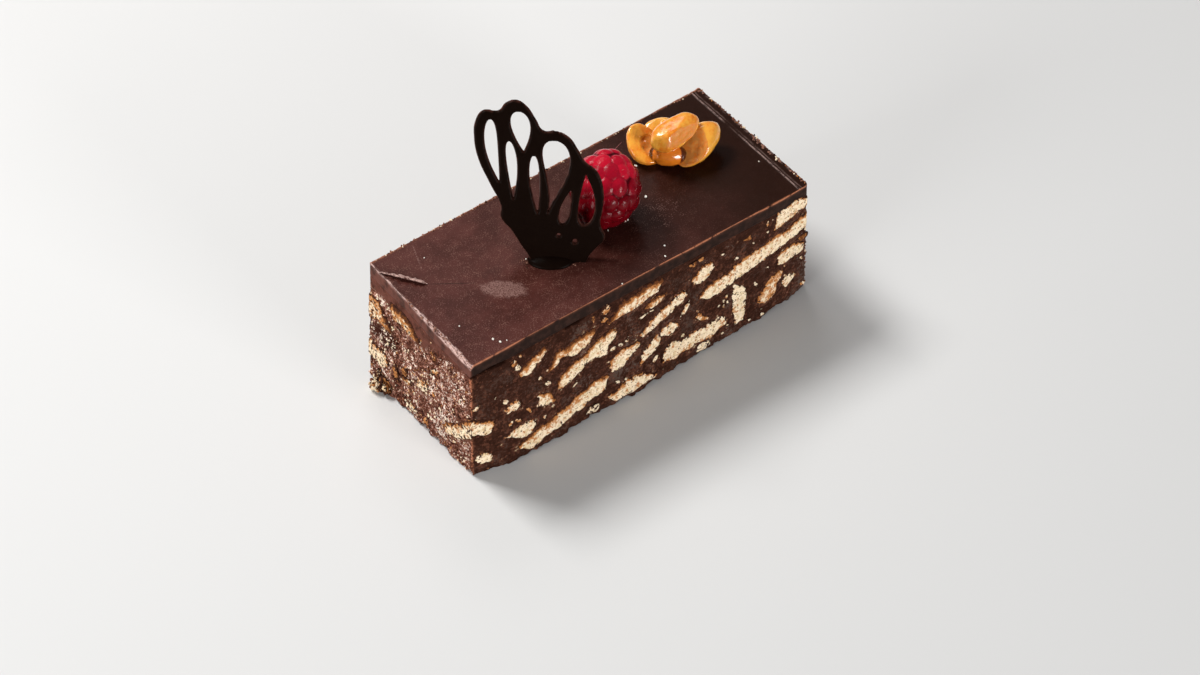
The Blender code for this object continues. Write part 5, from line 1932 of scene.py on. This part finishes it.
@dataclass(frozen=True)
class Scatter:
    """Crumbs in the cut faces, bits of glaze on the edges, and sugar crystals."""

    # along, up, length, width, tilt, and tone from 0 for glaze to 1 for cream
    front_crumbs: tuple = (
        (-45.3, 36.9, 3.2, 2.2, 90, 0.63), (-44.7, 35.2, 2.6, 2, 60, 0.88),
        (-43.5, 39.0, 1.2, 0.8, 90, 0.71), (-49.4, 24.9, 3.2, 1.4, -40, 0.84),
        (-58.4, 27.0, 2.6, 2, 0, 0.71), (-48.2, 15.4, 2, 1, 45, 0.75), (-45.6, 15.0, 2.5, 1.8, -40, 0.67),
        (-41.9, 17.0, 2.4, 1.1, -60, 0.67), (-37.2, 26.5, 2, 1.1, -30, 0.75),
        (-34.9, 23.1, 2.4, 1.4, -60, 0.84), (-33.8, 13.8, 1.2, 0.9, 0, 0.92),
        (-36.8, 11.1, 1.3, 1.2, 0, 0.79), (-25.5, 16.8, 3.3, 0.8, 32, 0.92),
        (-19.1, 2.9, 4.2, 2.4, 0, 0.88), (21.1, 2.5, 4.5, 2.8, 0, 0.88), (-14.1, 38.4, 4, 2.4, 20, 0.67),
        (-14.3, 35.4, 2.6, 1.2, 20, 0.71), (-18.0, 37.8, 1, 2.5, 0, 0.63),
        (-12.1, 22.6, 2.6, 1.2, 10, 0.79), (-9.3, 22.5, 2.2, 1.1, -10, 0.88),
        (-6.9, 23.1, 1.6, 1, 20, 0.75), (-0.9, 28.8, 3.4, 1.2, 10, 0.88), (2.0, 29.1, 1.6, 1, -20, 0.79),
        (14.6, 21.8, 6, 1.7, 58, 0.84), (3.0, 9.4, 3.5, 1.4, 58, 0.75), (13.6, 11.7, 1.8, 1.1, 0, 0.88),
        (17.9, 37.5, 3.4, 2.2, 15, 0.54), (20.3, 38.2, 2, 1.4, -30, 0.63),
        (44.8, 37.9, 2.4, 3.6, -20, 0.67), (37.6, 36.5, 4.5, 1.9, -5, 0.58), (39.4, 33.6, 1, 0.9, 0, 0.84),
        (28.1, 35.7, 1.2, 1, 0, 0.84), (33.3, 30.9, 1.5, 1.2, 0, 0.84), (40.1, 16.3, 3.2, 1.1, -58, 0.79),
        (29.4, 17.8, 0.8, 1.6, 0, 0.79), (28.5, 16.6, 0.8, 1.4, 0, 0.79), (28.5, 14.5, 0.8, 1.6, 0, 0.79),
        (29.8, 15.4, 0.8, 1.3, 0, 0.79), (58.6, 14.8, 1.2, 1.1, 0, 0.79), (58.6, 23.8, 3.4, 2.2, 0, 0.54),
        (59.5, 3.2, 2, 1.3, 0, 0.71), (43.1, 1.7, 2, 1.6, 0, 0.88), (38.2, 2.7, 0.9, 0.8, 0, 0.92),
        (42.9, 3.9, 0.8, 0.7, 0, 0.92), (28.2, 3.3, 0.9, 0.8, 0, 0.92), (29.9, 5.8, 1, 0.8, 0, 0.92),
        (5.7, 3.2, 1, 0.8, 0, 0.92), (-10.8, 8.7, 2, 0.9, -45, 0.88), (-8.1, 8.3, 1, 0.8, 0, 0.88),
        (-52.6, 27.9, 0.9, 0.9, 0, 0.96), (44.7, 20.3, 1, 0.9, 0, 0.96), (46.2, 38.6, 0.9, 0.8, 0, 0.96),
        (44.6, 34.9, 0.8, 0.8, 0, 0.96), (26.6, 15.5, 0.9, 0.8, 0, 0.96),
    )
    left_crumbs: tuple = (
        (7.7, 15.3, 2.6, 2.8, 0, 0.58), (12.4, 10.8, 2.4, 3.8, 0, 0.60), (16.1, 3.6, 3, 2.6, 0, 0.63),
        (-4.5, 7.1, 3.5, 2, 20, 0.88), (-3.1, 4.0, 1.8, 2.8, 0, 0.63), (-7.5, 27.9, 3, 1.6, -35, 0.77),
        (-5.1, 24.9, 2.2, 1, -50, 0.88), (-6.4, 33.3, 3.6, 3, 0, 0.52), (5.6, 12.8, 3.2, 1.5, -40, 0.88),
        (-6.4, 27.1, 2.2, 1.6, -40, 0.88), (-9.8, 14.8, 1.4, 1.2, 0, 0.88),
        (-19.6, 26.3, 0.8, 0.7, 0, 0.96), (-19.0, 31.0, 0.7, 0.6, 0, 0.96), (13.5, 28.2, 0.9, 0.8, 0, 0.98),
        (10.7, 33.4, 0.8, 0.8, 0, 0.98), (15.6, 20.1, 0.8, 0.8, 0, 0.98), (17.2, 24.0, 0.7, 0.7, 0, 0.98),
        (12.4, 22.4, 0.6, 0.6, 0, 0.98), (19.0, 26.5, 0.6, 0.6, 0, 0.98), (-1.0, 21.3, 1.4, 0.8, -40, 0.79),
        (-6.9, 18.2, 1.2, 1, 0, 0.71),
    )
    # x, y and height over the glaze, size
    crystals: tuple = (
        (-48.8, -19.9, 0, 0.34), (-47.8, -22.0, 0, 0.34), (-46.0, -22.6, 0, 0.25),
        (-53.3, -10.3, 0, 0.22), (-45.8, 17.2, 0, 0.22), (-23.2, -0.6, 0, 0.28),
        (-7.3, -24.7, 0, 0.26), (11.3, -20.0, 0, 0.32), (8.9, -23.4, 0, 0.30), (19.0, -1.3, 0, 0.50),
        (24.3, 10.7, 0, 0.30), (53.9, -9.5, 0, 0.25), (9.2, -5.4, 0, 0.42), (8.3, -5.6, 0, 0.30),
        (2.2, -5.4, 0, 0.26), (14.75, -2.15, 15.6, 0.36),
    )
    cut_counts: tuple = ((Side.FRONT, 800), (Side.BACK, 700))
    end_counts: tuple = ((Side.LEFT, 3900), (Side.RIGHT, 3900))
    # a drawn number from 0 to 1.28 and the tone that it stands for
    cut_tones: tuple = ((0.0, 0.60, 0.93, 1.0, 1.28), (0.03, 0.09, 0.22, 0.56, 0.90))
    end_tones: tuple = ((0.0, 0.40, 0.68, 0.80, 0.90, 1.0, 1.28), (0.02, 0.12, 0.25, 0.42, 0.64, 0.90, 0.97))

    def bits(self, middles: Array, sizes: Array, turns: Array, seed: int, grid: tuple, tone: Array,
             rag: float = 0.42) -> Shell:
        """Uneven little lumps.

        Args:
            middles: Their centres.
            sizes: Half sizes of each along its own axes.
            turns: Three unit rows for each.
            seed: Number for their unevenness.
            grid: Rows and columns of each.
            tone: The mark of each.
            rag: How uneven they are, as a share of their size.

        Returns:
            One shell with all the lumps.
        """
        ways, faces = ball(*grid)
        count = len(middles)
        spots = (ways[None] * 1.7 + np.arange(count)[:, None, None] * 9.1).reshape(-1, 3)
        swell = 1 + rag * layered_noise(spots, 1.3, seed, 3).reshape(count, -1, 1)
        points = (ways[None] * swell * sizes[:, None]) @ turns + middles[:, None]
        return repeated(points, faces, tone=np.repeat(np.asarray(tone)[:, None], len(ways), axis=1))

    def build(self) -> None:
        """Makes one piece of each kind."""
        draw = np.random.default_rng(23)
        finish = CrumbFinish().material()
        make_piece("face_crumbs", self.crumbs_in_faces(), BiscuitFinish().material())
        cut_crumbs = self.small_crumbs(draw, self.cut_counts, self.cut_tones)
        make_piece("cut_crumbs", cut_crumbs, finish)
        for name, counts in zip(("left_end_crumbs", "right_end_crumbs"), self.end_counts):
            made = self.small_crumbs(draw, (counts,), self.end_tones)
            make_piece(name, made, finish)
        make_piece("edge_flakes", self.flakes(draw), finish)
        spots = np.array(self.crystals)
        count = len(spots)
        sizes = spots[:, 3:] * draw.uniform(0.7, 1.15, (count, 3))
        middles = np.column_stack((spots[:, :2], FORM.height + spots[:, 2] + spots[:, 3] * 0.55))
        grains = self.bits(middles, sizes, self.any_turns(draw, count), 3, (5, 6), np.ones(count))
        make_piece("sugar_crystals", grains, SugarFinish().material())

    @staticmethod
    def any_turns(draw: np.random.Generator, count: int) -> Array:
        """Three unit rows for each lump, turned at random."""
        return np.linalg.qr(draw.normal(0, 1, (count, 3, 3)))[0]

    def crumbs_in_faces(self) -> Shell:
        """Crumbs set in the cut faces, each a flat lump that lies along its tilt.

        The cocoa mass is smeared over each from its rim inwards, where the lump turns away.

        Returns:
            The closed surfaces with the marks toast and smear.
        """
        grid, shells = (16, 26), []
        outward = -ball(*grid)[0][:, 1]
        smear = 0.36 + 0.80 * ease(-outward, -0.85, -0.30)
        rows = [(Side.FRONT, *row) for row in self.front_crumbs]
        rows += [(Side.LEFT, *row) for row in self.left_crumbs]
        for number, (side, along, up, length, width, tilt, tone) in enumerate(rows):
            turn = math.radians(tilt)
            line, inward = np.zeros(3), np.zeros(3)
            line[side.axis], line[2] = math.cos(turn), math.sin(turn)
            inward[1 - side.axis] = side.way
            turns = np.stack((line, inward, np.cross(line, inward)))[None]
            middle = FORM.place(side, np.array([along]), np.array([up]), np.array([0.36]))
            size = np.array([[length / 2, 0.50, width / 2]]) * (1.1, 1, 1.1)
            made = self.bits(middle, size, turns, number, grid, [tone], 0.75)
            made.points[:, 2] = np.maximum(made.points[:, 2], 0.0)
            made.marks = {"toast": np.full(len(smear), 2.1 * (0.90 - tone)), "smear": smear}
            shells.append(made)
        return join_shells(shells)

    def small_crumbs(self, draw: np.random.Generator, counts: tuple, tones: tuple) -> Shell:
        """Crumbs of half a millimetre that crowd round the biscuits and on the broken ends.

        Places are drawn evenly over a face and kept by chance: more often where the mass is crumbly
        or a biscuit is near, never on a biscuit.

        Args:
            draw: The random numbers.
            counts: Sides, each with how many places are drawn.
            tones: Drawn numbers and the tones that they stand for.

        Returns:
            One shell with all the crumbs.
        """
        mass, shape = CocoaMass(), BiscuitShape()
        middles, marks = [], []
        for side, count in counts:
            half = 24.8 if side.is_end else 60.5
            along, up = draw.uniform(-half, half, count), 40.0 * draw.uniform(0.01, 1, count) ** 1.1
            face = FORM.place(side, along, up, np.zeros(count))
            inside = np.max([shape.covers(cut, face) for cut in CUTS], axis=0)
            near = np.exp(np.minimum(inside, 0) / 1.3) * ease(-up, -38.0, -34.0)
            chance = 0.04 + 0.75 * mass.crumbliness(side, face) + 0.45 * near
            kept = (inside < 0.1) & (draw.uniform(0, 1, count) < chance)
            out = mass.relief(side, face)
            middles.append(FORM.softened(FORM.place(side, along[kept], up[kept], -out[kept] + 0.08)))
            by_biscuit = np.exp(np.minimum(inside[kept], 0) / 1.0)
            damp = mass.damp(side, face[kept])
            drawn = draw.uniform(0, 1, kept.sum())
            drawn = np.where(damp > 0.3, np.where(drawn > 0.72, 1.2, 0.15 * drawn), drawn)
            marks.append(np.interp(drawn + 0.28 * by_biscuit, *tones))
        middle, tone = np.concatenate(middles), np.concatenate(marks)
        sizes = draw.uniform(0.14, 0.38, (len(middle), 1)) * draw.uniform(0.7, 1.3, (len(middle), 3))
        middle[:, 2] = np.maximum(middle[:, 2], 0.5)
        return self.bits(middle, sizes, self.any_turns(draw, len(middle)), 7, (4, 6), tone)

    def flakes(self, draw: np.random.Generator) -> Shell:
        """Bits of broken glaze along the back, left and right edges and round the foot of the lace.

        Args:
            draw: The random numbers.

        Returns:
            One shell with all the bits.
        """
        lace, top, foot_count = ChocolateLace(), FORM.height, 40
        rows, tones, scale = [], [], []
        # how many, their spread along X and Y, the tones that they take and their size
        edges = ((230, (-58.3, 59.2), (24.75, 0.16), (0.05, 0.2, 0.3, 0.45, 0.95), 1.0),
                 (70, (59.2, 0.2), (-24.5, 24.5), (0.05, 0.2, 0.3, 0.6), 1.0),
                 (46, (59.0, 0.3), (-24.0, 24.5), (0.02, 0.12, 0.30, 0.38, 0.42, 0.9), 1.5),
                 (40, (-59.3, 0.25), (-24.0, 8.0), (0.30, 0.38, 0.42), 1.0))
        for count, x, y, choice, size in edges:
            spots = [draw.normal(*pair, count) if 0 < pair[1] < 1 else draw.uniform(*pair, count)
                     for pair in (x, y)]
            rows.append(np.column_stack((*spots, draw.uniform(top - 0.15, top + 0.10, count))))
            tones.append(draw.choice(choice, count))
            scale.append(np.full(count, size))
        spreads = ((2.9, 0.28), (-0.15, 0.32))
        turn = np.concatenate([draw.normal(*spread, foot_count // 2) for spread in spreads])
        reach = draw.uniform(0.98, 1.30, foot_count)
        across, away = np.cos(turn) * lace.dab[0] * reach, np.sin(turn) * lace.dab[1] * reach
        rows.append(lace.round_foot(side_by_side(across, away, 0.1)))
        tones.append(draw.choice((0.0, 0.05, 0.12, 0.3), foot_count))
        middles = np.vstack(rows)
        count = len(middles)
        sizes = draw.uniform(0.10, 0.30, (count, 1)) * draw.uniform(0.6, 1.5, (count, 3))
        sizes *= np.concatenate((*scale, np.ones(foot_count)))[:, None]
        return self.bits(middles, sizes, self.any_turns(draw, count), 5, (5, 7), np.concatenate(tones), 0.6)


@dataclass(frozen=True)
class Studio:
    """A pale floor, soft lights and the camera, all in metres."""

    camera_at: tuple = (-0.48138, -0.64105, 0.85640)
    camera_aim: tuple = (0.00051, -0.00395, 0.0)
    lens: float = 120.0
    floor_half: float = 2.5
    # name, way from the cake, distance, size, watts, colour
    lights: tuple = (
        ("key", (-0.26, 0.72, 0.98), 1.3, 0.42, 17.5, (1.0, 0.98, 0.95)),
        ("front_fill", (0.15, -1.0, 0.17), 1.5, 0.45, 16.3, (1.0, 0.99, 0.97)),
        ("left_fill", (-1.0, -0.10, 0.17), 1.4, 0.8, 16.5, (1.0, 0.99, 0.97)),
        ("sheen", (0.144, 0.318, 0.408), 0.54, 0.20, 0.42, (1.0, 0.93, 0.90)),
    )
    world: tuple = (0.97, 0.98, 1.0)
    world_strength: float = 0.11

    def build(self) -> None:
        """Makes the floor, the lights, the world and the camera."""
        self.add_floor()
        self.add_lights()
        self.add_camera()

    def add_floor(self) -> None:
        """Makes a pale square under the cake, kept out of the model."""
        half = self.floor_half
        mesh = bpy.data.meshes.new("floor")
        corners = ((-half, -half), (half, -half), (half, half), (-half, half))
        mesh.from_pydata([(*corner, -0.0001) for corner in corners], [], [(0, 1, 2, 3)])
        floor = bpy.data.objects.new("floor", mesh)
        bpy.context.scene.collection.objects.link(floor)
        recipe = Recipe("pale_floor")
        colour = recipe.blend(recipe.noise(400.0), (0.64, 0.648, 0.655), (0.665, 0.673, 0.68))
        mesh.materials.append(recipe.done(colour, 0.6, specular_ior_level=0.2))

    def add_lights(self) -> None:
        """Makes the lamps, which look at the cake, and the even light of the world."""
        scene = bpy.context.scene
        for name, way, distance, size, watts, colour in self.lights:
            lamp = bpy.data.lights.new(name, "AREA")
            lamp.size, lamp.energy, lamp.color = size, watts, colour
            light = bpy.data.objects.new(name, lamp)
            scene.collection.objects.link(light)
            direction = Vector(way).normalized()
            light.location = direction * distance + Vector((0.0, 0.0, 0.03))
            light.rotation_mode = "QUATERNION"
            light.rotation_quaternion = (-direction).to_track_quat("-Z", "Y")
        scene.world = scene.world or bpy.data.worlds.new("studio")
        scene.world.use_nodes = True
        background = scene.world.node_tree.nodes["Background"]
        background.inputs["Color"].default_value = (*self.world, 1.0)
        background.inputs["Strength"].default_value = self.world_strength

    def add_camera(self) -> None:
        """Makes the camera of the photo's side and shows colours as they are."""
        scene = bpy.context.scene
        scene.view_settings.view_transform = "Standard"
        camera = bpy.data.objects.new("camera", bpy.data.cameras.new("camera"))
        scene.collection.objects.link(camera)
        camera.data.lens, camera.data.sensor_width = self.lens, 36.0
        camera.location = self.camera_at
        camera.rotation_mode = "QUATERNION"
        towards = Vector(self.camera_aim) - Vector(self.camera_at)
        camera.rotation_quaternion = towards.to_track_quat("-Z", "Y")
        scene.camera = camera


def main() -> None:
    """Builds the cake's pieces in order, then the studio."""
    logging.basicConfig(level=logging.INFO, format="%(name)s: %(message)s")
    for part in (Loaf(), GlazeSlab(), ChocolateLace(), Raspberry(), PeanutPile(), Scatter(), Studio()):
        LOG.info("building %s", type(part).__name__)
        part.build()


if __name__ == "__main__":
    main()
